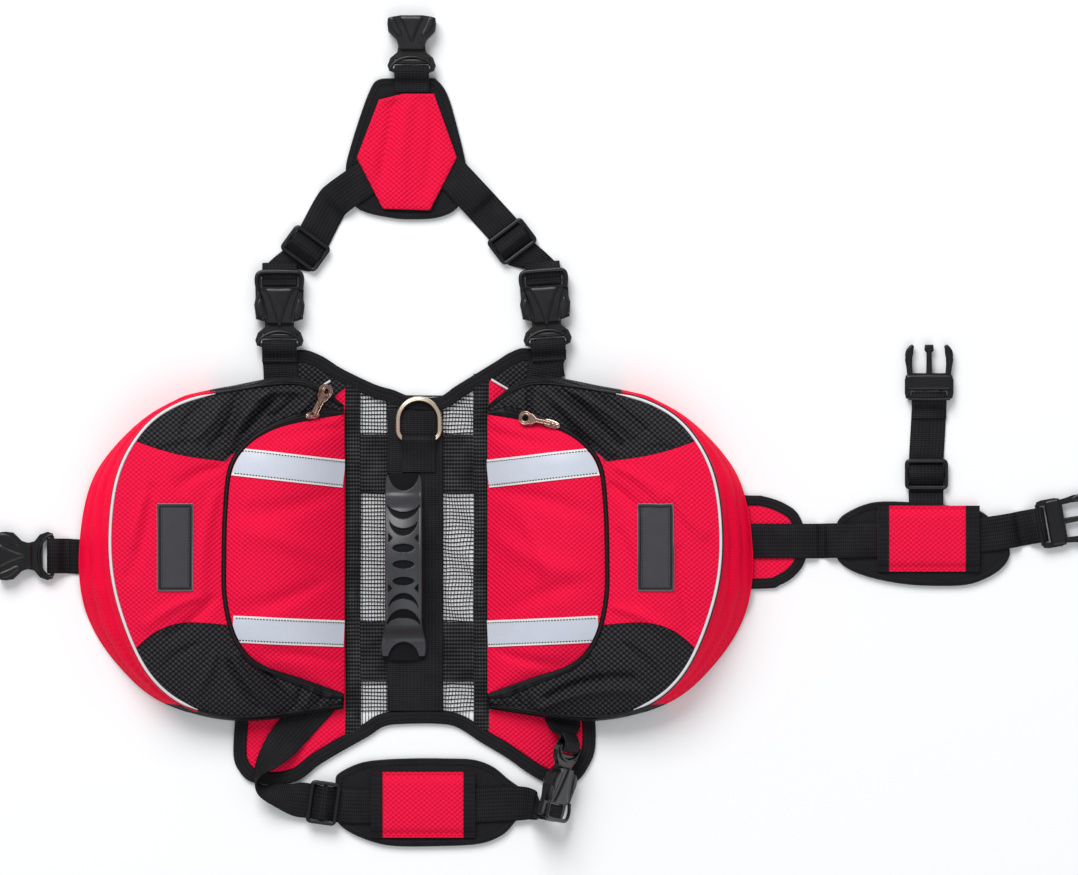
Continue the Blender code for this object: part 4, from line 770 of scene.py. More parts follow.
def make_sides(side, tag):
    """The back and the side wall of one cloth."""
    place = np.linspace(0.0, 1.0, 181)[:, None]
    _, piping, base = section(place[:, 0])
    inner = np.stack([np.full(181, BAG_INNER_X), between((103.0, -98.0), place[:, 0]), np.full(181, 6.2)],
                     axis=1)
    back = []
    for share in (0.0, 0.2, 0.4, 0.56, 0.72, 0.86, 1.0):
        column = inner + (base - inner) * share
        flat = 1 - ease((share - 0.72) / 0.28)
        column[:, 2] = 6.2 * flat + base[:, 2] * (1 - flat)
        back.append(column)
    drop = 2.2 / np.maximum(piping[:, 2] - base[:, 2], 5.0)
    wall = [gusset_point(place[:, 0], down, side) for down in np.linspace(0.93, 0.0, 15)[:-1]]
    wall.append(gusset_point(place[:, 0], drop * 0.4, side))
    points = across_spine(np.stack(back + wall, axis=1), side)
    spot = (np.arange(180) + 0.5) / 180
    black = (spot < 0.215) | (spot > 0.815)
    ob = shell(f"bag_{tag}_side", points, CLOTH, "gusset_cloth", f"bag_{tag}_tray", flip=side > 0,
               second=("black_cloth", black))


def make_front(side, tag):
    """The black top corner, the red panel and the black low corner."""
    pieces = [
        # name, finish, first section at the pocket and the piping, last ones, rows, flat size
        ("corner_top", "black_cloth", (0.0, 0.0), TOP_SEAM, 110, (0.120, 0.050)),
        ("panel", "red_cloth", TOP_SEAM, LOW_SEAM, 90, (0.084, 0.140)),
        ("corner_low", "black_cloth", LOW_SEAM, (1.0, 1.0), 90, (0.125, 0.055)),
    ]
    gap = SEAM / 2 / 300.0
    for name, finish, first, last, count, flat in pieces:
        share = np.linspace(0.0, 1.0, 41)[None, :]
        start = seam_place(first, share) + (gap if first[0] > 0 else 0)
        end = seam_place(last, share) - (gap if last[0] < 1 else 0)
        place = start + (end - start) * np.linspace(0.0, 1.0, count)[:, None]
        pocket, piping, _ = section(place)
        span = np.hypot(piping[..., 0] - pocket[..., 0], piping[..., 1] - pocket[..., 1])
        low = (np.minimum(zip_width(place), span * 0.42) + 0.5) / span
        high = 1 - np.minimum(1.3, span * 0.3) / span
        points = across_spine(front_point(place, low + (high - low) * share, side), side)
        ob = shell(f"bag_{tag}_front_{name}", points, CLOTH, finish, f"bag_{tag}_{name}", flip=side < 0,
                   uv=points[..., :2])
    for name, seam in (("top", TOP_SEAM), ("low", LOW_SEAM)):
        share = np.linspace(0.06, 0.97, 60)
        place = seam_place(seam, share) + 0.006 * (1 if name == "low" else -1)
        line = across_spine(front_point(place, share, side), side)
        stitches(f"bag_{tag}_seam_{name}", line + UP * 0.05, np.tile(UP, (60, 1)), pitch=2.9, radius=0.2)


def make_pocket(side, tag):
    place = np.linspace(0.0, 1.0, 141)[:, None]
    pocket, _, _ = section(place)
    reach = np.maximum(pocket[..., 0] - BAG_INNER_X, 1.0)
    away = (1 - np.minimum(0.4 / reach, 0.4)) * np.sin(np.linspace(0.0, math.pi / 2, 34))[None, :]
    points = across_spine(pocket_point(place, away, side), side)
    ob = shell(f"bag_{tag}_front_pocket", points, CLOTH, "red_cloth", f"bag_{tag}_pocket", flip=side < 0,
               uv=points[..., :2])


def zip_frame(side, place, direction=None):
    """A place on the zip band: +x along the zip, or along a flat direction."""
    pocket, piping, _ = section(np.array(place))
    away = 0.5 * zip_width(place) / math.hypot(*(piping - pocket)[:2])
    centre = front_point(np.array(place), away, side)
    step = 0.004
    along = front_point(np.array(place + step), away, side) - front_point(np.array(place - step), away, side)
    across = front_point(np.array(place), away + step, side) - front_point(np.array(place), away - step,
                                                                           side)
    up = np.cross(along, across)
    up *= 1 if up[2] > 0 else -1
    up /= np.linalg.norm(up)
    way = along if direction is None else np.array([direction[0] * side, direction[1], 0.0])
    way = way - up * (way @ up)
    way /= np.linalg.norm(way)
    third = np.cross(up, way) * (1 if side > 0 else -1)
    turn = Matrix(np.stack([across_spine(v, side) for v in (way, third, up)], axis=1).tolist()).to_4x4()
    return Matrix.Translation(Vector(across_spine(centre, side))) @ turn


SLIDERS = {-1: 0.085, 1: 0.165}


def make_zip(side, tag):
    """The zip's band round the pocket with its coil, and the slider that stands on it."""
    rows = 241
    place = np.linspace(0.0, 1.0, rows)[:, None]
    share = np.linspace(0.0, 1.0, 11)[None, :]
    pocket, piping, _ = section(place)
    span = np.hypot(piping[..., 0] - pocket[..., 0], piping[..., 1] - pocket[..., 1])
    width = np.minimum(zip_width(place), span * 0.42)
    points = front_point(place, width * share / span, side)
    points[..., 2] += 0.7 * np.sin(math.pi * share) ** 0.6
    points = across_spine(points, side)
    ob = shell(f"bag_{tag}_zip_band", points, CLOTH, "smooth_tape", f"bag_{tag}_zip", flip=side < 0)
    middle = points[:, 5]
    side_way = points[:, 7] - points[:, 3]
    sweep(f"bag_{tag}_zip_coil", middle + UP * 0.12, side_way, round_profile(0.42, 8), "black_thread")
    path = resample(middle, 1.25)
    ways = np.stack([np.interp(np.linspace(0, 1, len(path)), np.linspace(0, 1, rows), side_way[:, k])
                     for k in range(3)], axis=1)
    ways /= np.linalg.norm(ways, axis=1, keepdims=True)
    add_bars(f"bag_{tag}_zip_teeth", path + UP * 0.2, ways, 1.5, 0.26, "black_thread")
    make_slider(side, tag)


def add_bars(name, centres, ways, length, radius, finish):
    """Small round-ended bars at places, such as zip teeth."""
    beads = []
    for centre, way in zip(centres, ways):
        up = np.cross(way, np.cross(UP, way))
        up /= max(np.linalg.norm(up), 1e-9)
        spots = [centre + way * along * length for along in (-0.5, -0.38, 0.38, 0.5)]
        beads.append((spots, up, np.cross(way, up)))
    return add_beads(name, beads, radius, (0.4, 1.0, 1.0, 0.4), finish)


PULL_WAYS = {-1: (0.52, 0.85), 1: (-0.97, 0.22)}


def make_slider(side, tag):
    """A rounded slider with two bosses and the loop that carries the pull, and the pull's raised rims."""
    place = zip_frame(side, SLIDERS[side])
    outline = [(-6.0, -1.8), (-3.8, -3.0), (2.6, -2.8), (6.0, -1.3), (6.0, 1.3), (2.6, 2.8), (-3.8, 3.0),
               (-6.0, 1.8)]
    cushion(f"bag_{tag}_slider", smooth_points(outline, 4, closed=True), 1.0, 2.6, "rose_metal", step=0.7,
            edge=0.8, place=place)
    for name, x, size in (("back", -3.6, 1.9), ("nose", 3.7, 1.6)):
        ring = [(x + size * 1.2 * math.cos(a), size * math.sin(a)) for a in np.linspace(0.0, TAU, 15)[:-1]]
        cushion(f"bag_{tag}_slider_{name}", ring, 2.2, 3.5, "rose_metal", step=0.6, edge=0.9, place=place)
    arch = [(-2.6, 0.0, 1.8), (-2.2, 0.0, 2.9), (-0.6, 0.0, 3.35), (1.2, 0.0, 3.35), (2.4, 0.0, 2.9),
            (2.8, 0.0, 1.8)]
    path = placed(place, smooth_points(arch, 5))
    sweep(f"bag_{tag}_slider_bridge", path, np.tile(axis_of(place, 1), (len(path), 1)),
          ribbon_profile(2.0, 0.8, 0.3), "rose_metal")
    place = zip_frame(side, SLIDERS[side], PULL_WAYS[side])
    neck = [(0.6, -1.0), (11.2, -1.0), (14.2, -3.2)]
    eye = [(19.5 + 3.2 * math.cos(a), 3.2 * math.sin(a)) for a in np.linspace(0.0, TAU, 25)[:-1]]
    edge = neck + [(19.5 + 4.6 * math.cos(a), 4.6 * math.sin(a)) for a in np.linspace(-2.2, 2.2, 20)]
    edge += [(x, -y) for x, y in neck[::-1]]
    for name, line, radius in (("eye", eye, 0.5), ("edge", edge, 0.45)):
        path = placed(place, [(x, y, 5.2) for x, y in line])
        sweep(f"bag_{tag}_pull_{name}", path, np.cross(run_round(path), axis_of(place, 2)),
              round_profile(radius, 10), "rose_metal", body=f"{tag}_pull", closed=True)


def make_piping(side, tag):
    """The white cord in the seam round the front, with tapered ends, with a thin dark cord on each side as
    painted shadow: black on the front, dark red on the side wall.
    """
    place = np.linspace(0.21, 0.835, 240)
    centre = across_spine(section(place)[1], side)
    outward = np.gradient(centre, axis=0)
    outward = np.stack([outward[:, 1], -outward[:, 0], np.zeros(240)], axis=1)
    taper = 0.25 + 0.75 * ease(np.minimum(place - 0.21, 0.835 - place) / 0.03)
    sweep(f"bag_{tag}_white_piping", centre, outward, round_profile(PIPING_RADIUS * 0.82, 14), "piping",
          f"bag_{tag}_piping", scale=np.column_stack([taper, taper]))
    outward /= np.linalg.norm(outward, axis=1, keepdims=True)
    # Painted shadow: a thin dark cord along each side of the piping.
    for name, shift, drop, finish in (("inner", -1.5, -0.35, "black_thread"),
                                      ("outer", 1.5, -0.9, "red_thread")):
        sweep(f"bag_{tag}_piping_{name}", centre + outward * shift + UP * drop, outward,
              round_profile(0.5, 8), finish)
    for name, span in (("front", (0.012, 0.208)), ("rear", (0.837, 0.985))):
        place = np.linspace(*span, 70)
        line = across_spine(section(place)[1], side)
        run = np.gradient(line, axis=0)
        ways = np.stack([run[:, 1], -run[:, 0], np.zeros(70)], axis=1)
        sweep(f"bag_{tag}_piping_{name}_end", line, ways, round_profile(0.9, 10), "smooth_tape")


def strip_on(name, form, side, start, end, sideways, width, thickness, finish, lift, nodes=(), count=70,
             across=7):
    """A straight strip laid on a form, with its length from start to end and its middle moved sideways."""
    start, end = np.array(start), np.array(end)
    direction = (end - start) / np.linalg.norm(end - start)
    left = np.array([-direction[1], direction[0]])
    along = np.linspace(0.0, 1.0, count)[:, None]
    over = sideways + np.linspace(-0.5, 0.5, across)[None, :] * width
    x = start[0] + (end - start)[0] * along + left[0] * over
    y = start[1] + (end - start)[1] * along + left[1] * over
    points, _ = laid_on(form, side, x, y, SEAM + thickness + lift)
    points = across_spine(points, side)
    return shell(name, points, thickness, finish, nodes, flip=side < 0)


def line_on(name, form, side, start, end, sideways, lift, finish="black_thread", **sizes):
    """A line of sewing on a form."""
    start, end = np.array(start), np.array(end)
    direction = (end - start) / np.linalg.norm(end - start)
    along = np.linspace(0.0, 1.0, 60)
    x = start[0] + (end - start)[0] * along - direction[1] * sideways
    y = start[1] + (end - start)[1] * along + direction[0] * sideways
    points, normals = laid_on(form, side, x, y, SEAM + lift)
    return stitches(name, across_spine(points, side), across_spine(normals, side), finish, **sizes)


REFLECTORS = [
    # name, inner end, outer end, width
    ("front", (52.0, 62.2), (131.0, 71.0), 20.0),
    ("rear", (52.0, -52.9), (131.0, -49.0), 19.0),
]


def make_reflectors(side, tag):
    """Each strip: a white tape with a grey reflective stripe on it, sewn along both edges."""
    for name, start, end, width in REFLECTORS:
        label = f"bag_{tag}_reflector_{name}"
        ob = strip_on(f"{label}_tape", pocket_point, side, start, end, 0.0, width, 0.4, "white_tape", 0.0,
                      label)
        stripe = strip_on(f"{label}_stripe", pocket_point, side, start, end, 0.0, width - 4.0, 0.15,
                          "reflective", 0.3)
        for edge in (-1, 1):
            line_on(f"{label}_sewing_{'ab'[edge > 0]}", pocket_point, side, start, end,
                    edge * (width / 2 - 1.7),
                    0.5, pitch=2.2, length=1.7, radius=0.3)


def make_label(side, tag):
    """The bare label patch, with a pale edge and a sewn border."""
    start, end, width = (172.3, -21.4), (172.3, 40.6), 25.0
    ob = strip_on(f"bag_{tag}_label_patch", front_point, side, start, end, 0.0, width, 1.0, "label", 0.0,
                  f"bag_{tag}_label", count=64, across=27)
    x0, x1 = start[0] - width / 2, start[0] + width / 2
    y0, y1 = start[1], end[1]
    for name, inset, lift, radius, finish in (("edge", 0.0, 0.6, 0.4, "grey_thread"),
                                              ("border", 1.7, 1.0, 0.6, "black_thread")):
        corners = [(x0 + inset, y0 + inset), (x1 - inset, y0 + inset), (x1 - inset, y1 - inset),
                   (x0 + inset, y1 - inset)]
        line = resample(corners, 1.2, closed=True)
        points, normals = laid_on(front_point, side, line[:, 0], line[:, 1], SEAM + lift)
        points, normals = across_spine(points, side), across_spine(normals, side)
        along = run_round(points)
        sweep(f"bag_{tag}_label_{name}", points, np.cross(along, normals), round_profile(radius, 8), finish,
              closed=True)
    for name, shift in (("a", -1), ("b", 1)):
        line_on(f"bag_{tag}_label_sewing_{name}", front_point, side, (x0 + 12.5, y0 + 3.4),
                (x0 + 12.5, y1 - 3.4),
                shift * 9.2, 1.05, pitch=2.4, length=1.6, radius=0.2)


# The yoke and the spine

NECK_LINE = [
    (-109.7, 130.3), (-106.9, 140.4), (-94.0, 148.4), (-81.0, 151.3), (-67.8, 146.9), (-52.7, 137.5),
    (-29.8, 126.6), (-16.0, 122.4), (-3.2, 117.8), (16.0, 117.4), (30.0, 126.1), (56.9, 142.6),
    (67.0, 149.0), (78.0, 152.6), (92.0, 149.4), (104.2, 142.6), (107.3, 132.5),
]
REAR_LINE = [
    (-128.0, -100.0), (-130.3, -117.8), (-131.3, -140.2), (-127.7, -151.0), (-119.0, -159.4),
    (-101.5, -162.0), (-83.8, -158.1), (-69.5, -147.4), (-51.6, -136.7), (-34.3, -127.0),
    (-22.5, -119.7), (-6.8, -117.9), (16.1, -117.9), (30.0, -120.6), (46.9, -131.3), (64.8, -142.0),
    (82.8, -154.5), (98.0, -161.4), (115.0, -159.8), (125.7, -145.6), (129.3, -131.3), (128.5, -104.0),
]
LOBE_LINE = [
    (150.0, 48.0), (237.2, 45.9), (250.0, 45.2), (264.2, 40.5), (275.0, 32.0), (280.5, 14.0),
    (279.5, 0.0), (272.5, -10.5), (261.2, -17.6), (247.2, -20.0), (150.0, -22.0),
]
HIDDEN_LOBE_LINE = [
    (150.0, 48.0), (226.0, 45.0), (232.0, 34.0), (232.0, -8.0), (226.0, -20.0), (150.0, -22.0),
]
HIDDEN_SIDE = [(122.0, 112.0), (132.0, 84.0), (140.0, 56.0)]
HIDDEN_LOW_SIDE = [(140.0, -30.0), (132.0, -62.0), (122.0, -96.0)]
SPINE_LEFT, SPINE_RIGHT, TAPE_WIDTH, TAPE_THICK = -49.3, 50.9, 9.5, 3.4
FRONT_BAND, REAR_BAND = (48.5, 90.3), (-87.6, -44.4)


def smooth_line(points, count, closed=False):
    """Points on a smooth flat curve through the given ones, as the solids have it."""
    if not closed:
        return smooth_read(points, np.linspace(0.0, 1.0, count))
    rows = [points[-1]] + list(points) + [points[0], points[1]]
    whole = len(rows) - 1
    return smooth_read(rows, (1 + np.arange(count) / count * len(points)) / whole)


def offset_line(points, distance):
    points = np.asarray(points, float)
    ends = np.concatenate([points[:1], points, points[-1:]])
    run = ends[2:] - ends[:-2]
    run /= np.linalg.norm(run, axis=1, keepdims=True)
    return points + np.stack([-run[:, 1], run[:, 0]], axis=1) * distance


def line_between(points, x_low=None, x_high=None):
    """The part of a left-to-right line between two x values, or from or to its own end."""
    kept = [tuple(p) for p in points if (x_low is None or p[0] > x_low) and (x_high is None or p[0] < x_high)]
    x, y = np.asarray(points).T
    if x_low is not None:
        kept.insert(0, (x_low, float(np.interp(x_low, x, y))))
    if x_high is not None:
        kept.append((x_high, float(np.interp(x_high, x, y))))
    return kept


def mirrored(points):
    return [(-x, y) for x, y in points]


def level_path(line, z):
    line = np.asarray(line, float)
    return np.column_stack([line, np.full(len(line), z)])


def level_sides(line):
    """The flat sideways directions of a line."""
    run = np.gradient(np.asarray(line, float)[:, :2], axis=0)
    return np.column_stack([-run[:, 1], run[:, 0], np.zeros(len(run))])


def make_yoke():
    neck, rear = smooth_line(NECK_LINE, 49), smooth_line(REAR_LINE, 61)
    for name, line, inward in (("neck", smooth_line(NECK_LINE, 220), -1),
                               ("rear", smooth_line(REAR_LINE, 260), 1)):
        middle = offset_line(line, inward * (BINDING_WIDTH / 2 + SEAM))
        ob = sweep(f"{name}_edge_binding", level_path(middle, BINDING_THICK / 2), level_sides(middle),
                   ribbon_profile(BINDING_WIDTH + 2 * SEAM, BINDING_THICK, 1.7), "binding",
                   f"{name}_binding")
        for tag, inset in (("outer", 2.2), ("inner", BINDING_WIDTH - 1.6)):
            level_stitches(f"{name}_binding_sewing_{tag}", offset_line(line, inward * inset)[4:-4],
                           BINDING_THICK - 0.1)
    top, low = offset_line(neck, -BINDING_WIDTH - SEAM), offset_line(rear, BINDING_WIDTH + SEAM)
    right = line_between(top, x_low=SPINE_RIGHT + SEAM) + HIDDEN_SIDE + smooth_line(LOBE_LINE, 25).tolist()
    right += HIDDEN_LOW_SIDE + line_between(low, x_low=SPINE_RIGHT + SEAM)[::-1]
    left = mirrored(HIDDEN_SIDE)[::-1] + line_between(top, x_high=SPINE_LEFT - SEAM)
    left += line_between(low, x_high=SPINE_LEFT - SEAM)[::-1]
    left += mirrored(HIDDEN_LOW_SIDE)[::-1] + mirrored(HIDDEN_LOBE_LINE)[::-1]
    for tag, outline, flat in (("left", left, (0.30, 0.19)), ("right", right, (0.30, 0.24))):
        ob = cushion(f"yoke_{tag}_cloth", outline, 0.0, YOKE_THICK, "red_cloth", f"yoke_{tag}", step=4.5,
                     edge=0.9,
                     relief=yoke_relief)
    left_edge = line_between(top, x_low=-98.0, x_high=-49.2)
    right_edge = line_between(top, x_low=54.7, x_high=94.0)
    shoulders = {
        "left": left_edge + [(-56.0, 120.0), (-68.0, 106.0), (-114.0, 106.0)],
        "right": right_edge + [(112.0, 106.0), (72.0, 106.0), (64.8, 123.8)],
    }
    for tag, outline in shoulders.items():
        outline = np.array(outline)[::-1]
        ob = cushion(f"yoke_{tag}_shoulder", outline, YOKE_THICK + 0.2, YOKE_THICK + 0.6, "black_cloth",
                     step=2.5,
                     edge=0.4)
    for tag, (x0, y0), (x1, y1) in (("right", (54.2, 130.0), (66.0, 123.0)),
                                    ("left", (-66.0, 126.2), (-61.6, 129.0))):
        tip = np.column_stack([np.linspace(x0, x1, 12), np.linspace(y0, y1, 12),
                               np.full(12, YOKE_THICK + 0.9)])
        sweep(f"yoke_{tag}_piping_end", tip, level_sides(tip), round_profile(0.85, 10), "piping")
    make_lobe_edge()


def yoke_relief(x, y, away):
    """Shallow unevenness of cloth that lies flat."""
    return 0.16 * np.sin(x * 0.11 + y * 0.05) * np.sin(y * 0.13 - x * 0.03) * np.clip(away / 6, 0, 1)


def make_lobe_edge():
    """The black binding round the right side lobe."""
    lobe = resample(smooth_line(LOBE_LINE, 140), 2.0)[30:-30]
    middle = offset_line(lobe, -3.3)
    ob = sweep("lobe_binding", level_path(middle, YOKE_THICK / 2 + 0.2), level_sides(middle),
               ribbon_profile(8.0, YOKE_THICK + 0.5, 1.6), "binding")
    level_stitches("lobe_binding_sewing", offset_line(lobe, -6.6), YOKE_THICK + 0.4)


def make_spine():
    ends = {"left": (-126.0, 131.0), "right": (-122.0, 134.0)}
    for tag, x in (("left", SPINE_LEFT + TAPE_WIDTH / 2 - 1.0),
                   ("right", SPINE_RIGHT - TAPE_WIDTH / 2 + 1.0)):
        y = np.linspace(*ends[tag], 90)
        path = np.column_stack([x + 0.25 * np.sin(y * 0.05), y, np.full(90, TAPE_THICK / 2)])
        nodes = "spine_frame" if tag == "left" else ()
        ob = sweep(f"spine_tape_{tag}", path, np.tile((1.0, 0.0, 0.0), (90, 1)),
                   ribbon_profile(TAPE_WIDTH + 2.2, TAPE_THICK, 1.2), "netted_tape", nodes)
        for edge in (-1, 1):
            line = np.column_stack([x + edge * 3.4 + 0.25 * np.sin(y * 0.05), y])
            level_stitches(f"spine_tape_{tag}_sewing_{'ab'[edge > 0]}", line, TAPE_THICK - 0.05)
    for tag, (y0, y1) in (("front", FRONT_BAND), ("rear", REAR_BAND)):
        outline = [(SPINE_LEFT + 2, y0), (SPINE_RIGHT - 2, y0), (SPINE_RIGHT - 2, y1), (SPINE_LEFT + 2, y1)]
        ob = cushion(f"spine_{tag}_band", outline, 1.3, 2.7, "netted_tape", step=3.0, edge=0.6,
                     relief=band_relief)
        for edge, y in (("a", y0 + 2.2), ("b", y1 - 2.2)):
            for end, (x0, x1) in (("l", (-38.8, -22.0)), ("r", (20.8, 40.4))):
                level_stitches(f"spine_{tag}_band_sewing_{edge}{end}", cross_line(x0, x1, y, 8), 2.75)
    filler = [(-21.0, 101.0), (19.6, 101.0), (19.8, 113.0), (10.0, 110.8), (-3.0, 111.0), (-21.0, 117.0)]
    ob = cushion("spine_top_cloth", filler, 1.3, 2.7, "netted_tape", step=3.0, edge=0.6)
    make_net()
    make_spine_webbing()


def band_relief(x, y, away):
    return 0.12 * np.sin(x * 0.21) * np.sin(y * 0.17 + 1.0) * np.clip(away / 5, 0, 1)


def make_net():
    """The net between the tapes: threads that pass over and under each other."""
    neck = offset_line(smooth_line(NECK_LINE, 49), -BINDING_WIDTH - SEAM)
    rear = offset_line(smooth_line(REAR_LINE, 61), BINDING_WIDTH + SEAM)
    x0, x1 = SPINE_LEFT + TAPE_WIDTH + SEAM, SPINE_RIGHT - TAPE_WIDTH - SEAM
    runs = []
    columns = np.arange(x0 + 1.0, x1 - 0.5, 2.15)

    def drift(x, y):
        """The net hangs unevenly on the right."""
        return 0.9 * ease((x - 20.0) / 6.0) * np.sin(y * 0.16 + x * 0.11)

    for k, x in enumerate(columns):
        low, high = np.interp(x, *rear.T) - 1.2, np.interp(x, *neck.T) + 1.2
        y = np.arange(low, high, 1.35)
        z = 0.5 + 0.14 * np.cos(y * TAU / 5.4 + k * math.pi)
        runs.append((np.column_stack([x + 0.12 * np.sin(y * 0.23 + k) + drift(x, y), y, z]), 0.21, 0.2))
    for k, y in enumerate(np.arange(-108.5, 119.0, 2.7)):
        x = np.arange(x0 - 1.6, x1 + 1.6, 1.08)
        kept = (y > np.interp(x, *rear.T)) & (y < np.interp(x, *neck.T))
        x = x[kept]
        if len(x) < 4:
            continue
        z = 0.5 - 0.14 * np.cos(x * TAU / 4.3 + k * math.pi)
        sway = 0.15 * np.sin(x * 0.19 + k * 0.7) + 0.6 * drift(x, y + 4.0)
        runs.append((np.column_stack([x, y + sway, z]), 0.44, 0.25))
    points, faces = [], []
    for path, wide, tall in runs:
        along = np.gradient(path, axis=0)
        across = np.column_stack([-along[:, 1], along[:, 0], np.zeros(len(path))])
        across /= np.linalg.norm(across, axis=1, keepdims=True)
        start = sum(len(p) for p in points)
        corners = [path + across * wide, path + UP * tall, path - across * wide, path - UP * tall]
        points.append(np.stack(corners, axis=1).reshape(-1, 3))
        for i in range(len(path) - 1):
            for j in range(4):
                a, b = start + i * 4 + j, start + i * 4 + (j + 1) % 4
                faces.append((a, a + 4, b + 4, b)[::-1])
        last = start + (len(path) - 1) * 4
        faces.append((start + 3, start + 2, start + 1, start))
        faces.append((last, last + 1, last + 2, last + 3))
    add_piece("spine_open_net", np.concatenate(points), faces, "net", "spine_net")


def make_spine_webbing():
    (x0, x1), (y0, y1), (z0, z1) = (-20.7, 19.5), (-108.2, 107.6), (3.0, 4.6)
    y = np.linspace(y0, y1, 120)
    path = np.column_stack([np.full(120, (x0 + x1) / 2), y, (z0 + z1) / 2 + 0.06 * np.sin(y * 0.19)])
    ob = sweep("spine_broad_webbing", path, np.tile((1.0, 0.0, 0.0), (120, 1)),
               ribbon_profile(x1 - x0, z1 - z0),
               "webbing", "spine_webbing")
    for tag, x in (("a", x0 + 2.4), ("b", x1 - 2.4)):
        level_stitches(f"spine_webbing_sewing_{tag}", np.column_stack([np.full(60, x),
                                                                       np.linspace(y0 + 2, y1 - 2, 60)]),
                       z1 + 0.02)
    crosses = [("a", y0 + 3, x0 + 3, x1 - 3), ("b", y0 + 30, x0 + 3, x1 - 3), ("c", 91.0, -8.5, 12.5),
               ("d", y1 - 3, x0 + 3, x1 - 3)]
    for tag, y, start, end in crosses:
        level_stitches(f"spine_webbing_cross_{tag}", cross_line(start, end, y, 12), z1 + 0.02)


# The handle and the D-ring

HANDLE_X, HANDLE_WIDTH, HANDLE_ENDS, HANDLE_RISE, HANDLE_THICK = -8.8, 26.6, (62.5, -72.0), 20.0, 5.0


def handle_height(y):
    front, rear = HANDLE_ENDS
    inner = np.clip((y - rear - 12.0) / (front - rear - 24.0), 0.0, 1.0)
    return 4.9 + HANDLE_RISE * np.sin(math.pi * inner) ** 0.7 * ease(inner / 0.12) * ease((1 - inner) / 0.12)


CRESCENTS = [
    # tips' y, outer line's middle y, inner line's middle y, half length
    (42.5, 29.6, 35.0, 12.0),
    (30.0, 17.6, 23.2, 10.4),
    (-36.0, -23.2, -28.0, 10.9),
    (-48.6, -34.7, -41.6, 12.4),
]


def carving(x, y):
    """How deep the handle's pattern is cut at places, from 0 to 1: slots, crescents and small triangles."""
    cut = np.zeros(np.shape(x))
    for middle in (8.8, -2.9, -14.9):
        cut = np.maximum(cut, edge_of(1 - ((x / 8.3) ** 2 + ((y - middle) / 3.2) ** 2), 0.3))
    for tips, outer, inner, half in CRESCENTS:
        way = 1.0 if tips > outer else -1.0
        bow = 1 - np.sqrt(np.clip(1 - (x / half) ** 2, 0.0, 1.0))
        deep = (y - outer - (tips - outer) * bow) * way
        shallow = (inner + (tips - inner) * bow - y) * way
        cut = np.maximum(cut, edge_of(np.minimum(deep, shallow), 0.7) * (np.abs(x) < half))
    for centre_x, centre_y, way in ((-9.4, 16.0, 1), (9.6, 16.0, -1), (-9.6, -20.0, 1), (9.4, -20.0, -1)):
        across, along = (x - centre_x) * way, np.abs(y - centre_y)
        cut = np.maximum(cut, edge_of((1.7 - np.maximum(across * 0.9 + along * 0.8, -across)) / 1.2, 0.8))
    return cut


def end_scoops(x, y):
    """The scooped top between its horns, and the arch at the low end."""
    bow = 1 - np.sqrt(np.clip(1 - (x / 11.0) ** 2, 0.0, 1.0))
    top = y - 49.6 - 14.0 * bow
    low = -58.4 - 12.0 * bow - y
    rim = -68.9 - y
    return np.maximum(edge_of(np.maximum(top, low), 1.2), edge_of(rim, 0.8))


def edge_of(value, width):
    """A step from 0 to 1 over a width, from a value that is positive inside."""
    return ease(value / width)


def make_handle():
    """The rubber grip: an arch with a rounded top, a carved pattern and scooped ends."""
    front, rear = HANDLE_ENDS
    y = np.linspace(rear, front, 330)[:, None]
    share = np.linspace(-1.0, 1.0, 71)[None, :]
    end = np.minimum(np.minimum((y - rear) / 9, (front - y) / 9), 1.0)
    half = HANDLE_WIDTH / 2 * (0.76 + 0.24 * np.sqrt(np.clip(end * (2 - end), 0.0, None)))
    half += 2.9 * ease((-44.0 - y) / 18.0)
    x = share * half
    rim = 0.9 * ease((np.abs(share) - 0.86) / 0.06) * (1 - ease((np.abs(share) - 0.97) / 0.03))
    crown = HANDLE_THICK * (1.0 - 0.34 * share ** 2 - 0.12 * share ** 8)
    scoop = end_scoops(x, y + 0 * x)
    cut = np.maximum(carving(x, y + 0 * x), scoop)
    z = handle_height(y) + crown + rim * 0.5 - 1.5 * cut - 1.0 * scoop
    points = np.stack(np.broadcast_arrays(HANDLE_X + x, y, z), axis=2)
    under = points.copy()
    under[..., 2] = handle_height(y) + 0.18 * (1 - share ** 2) ** 0.5
    faces = grid_faces(*points.shape[:2])[:, ::-1]
    # The deepest parts of the carving take the near-black finish: painted shade in the recesses.
    recess_shade_faces = (cut[:-1, :-1] + cut[1:, 1:]).reshape(-1) > 1.1
    every = np.concatenate([points.reshape(-1, 3), under.reshape(-1, 3)])
    add_piece("carry_handle", every, faces.tolist(), "handle_rubber", "handle", uv=every[:, :2], sharp=55.0,
              second=("recess_painted_shade", np.nonzero(recess_shade_faces)[0]))


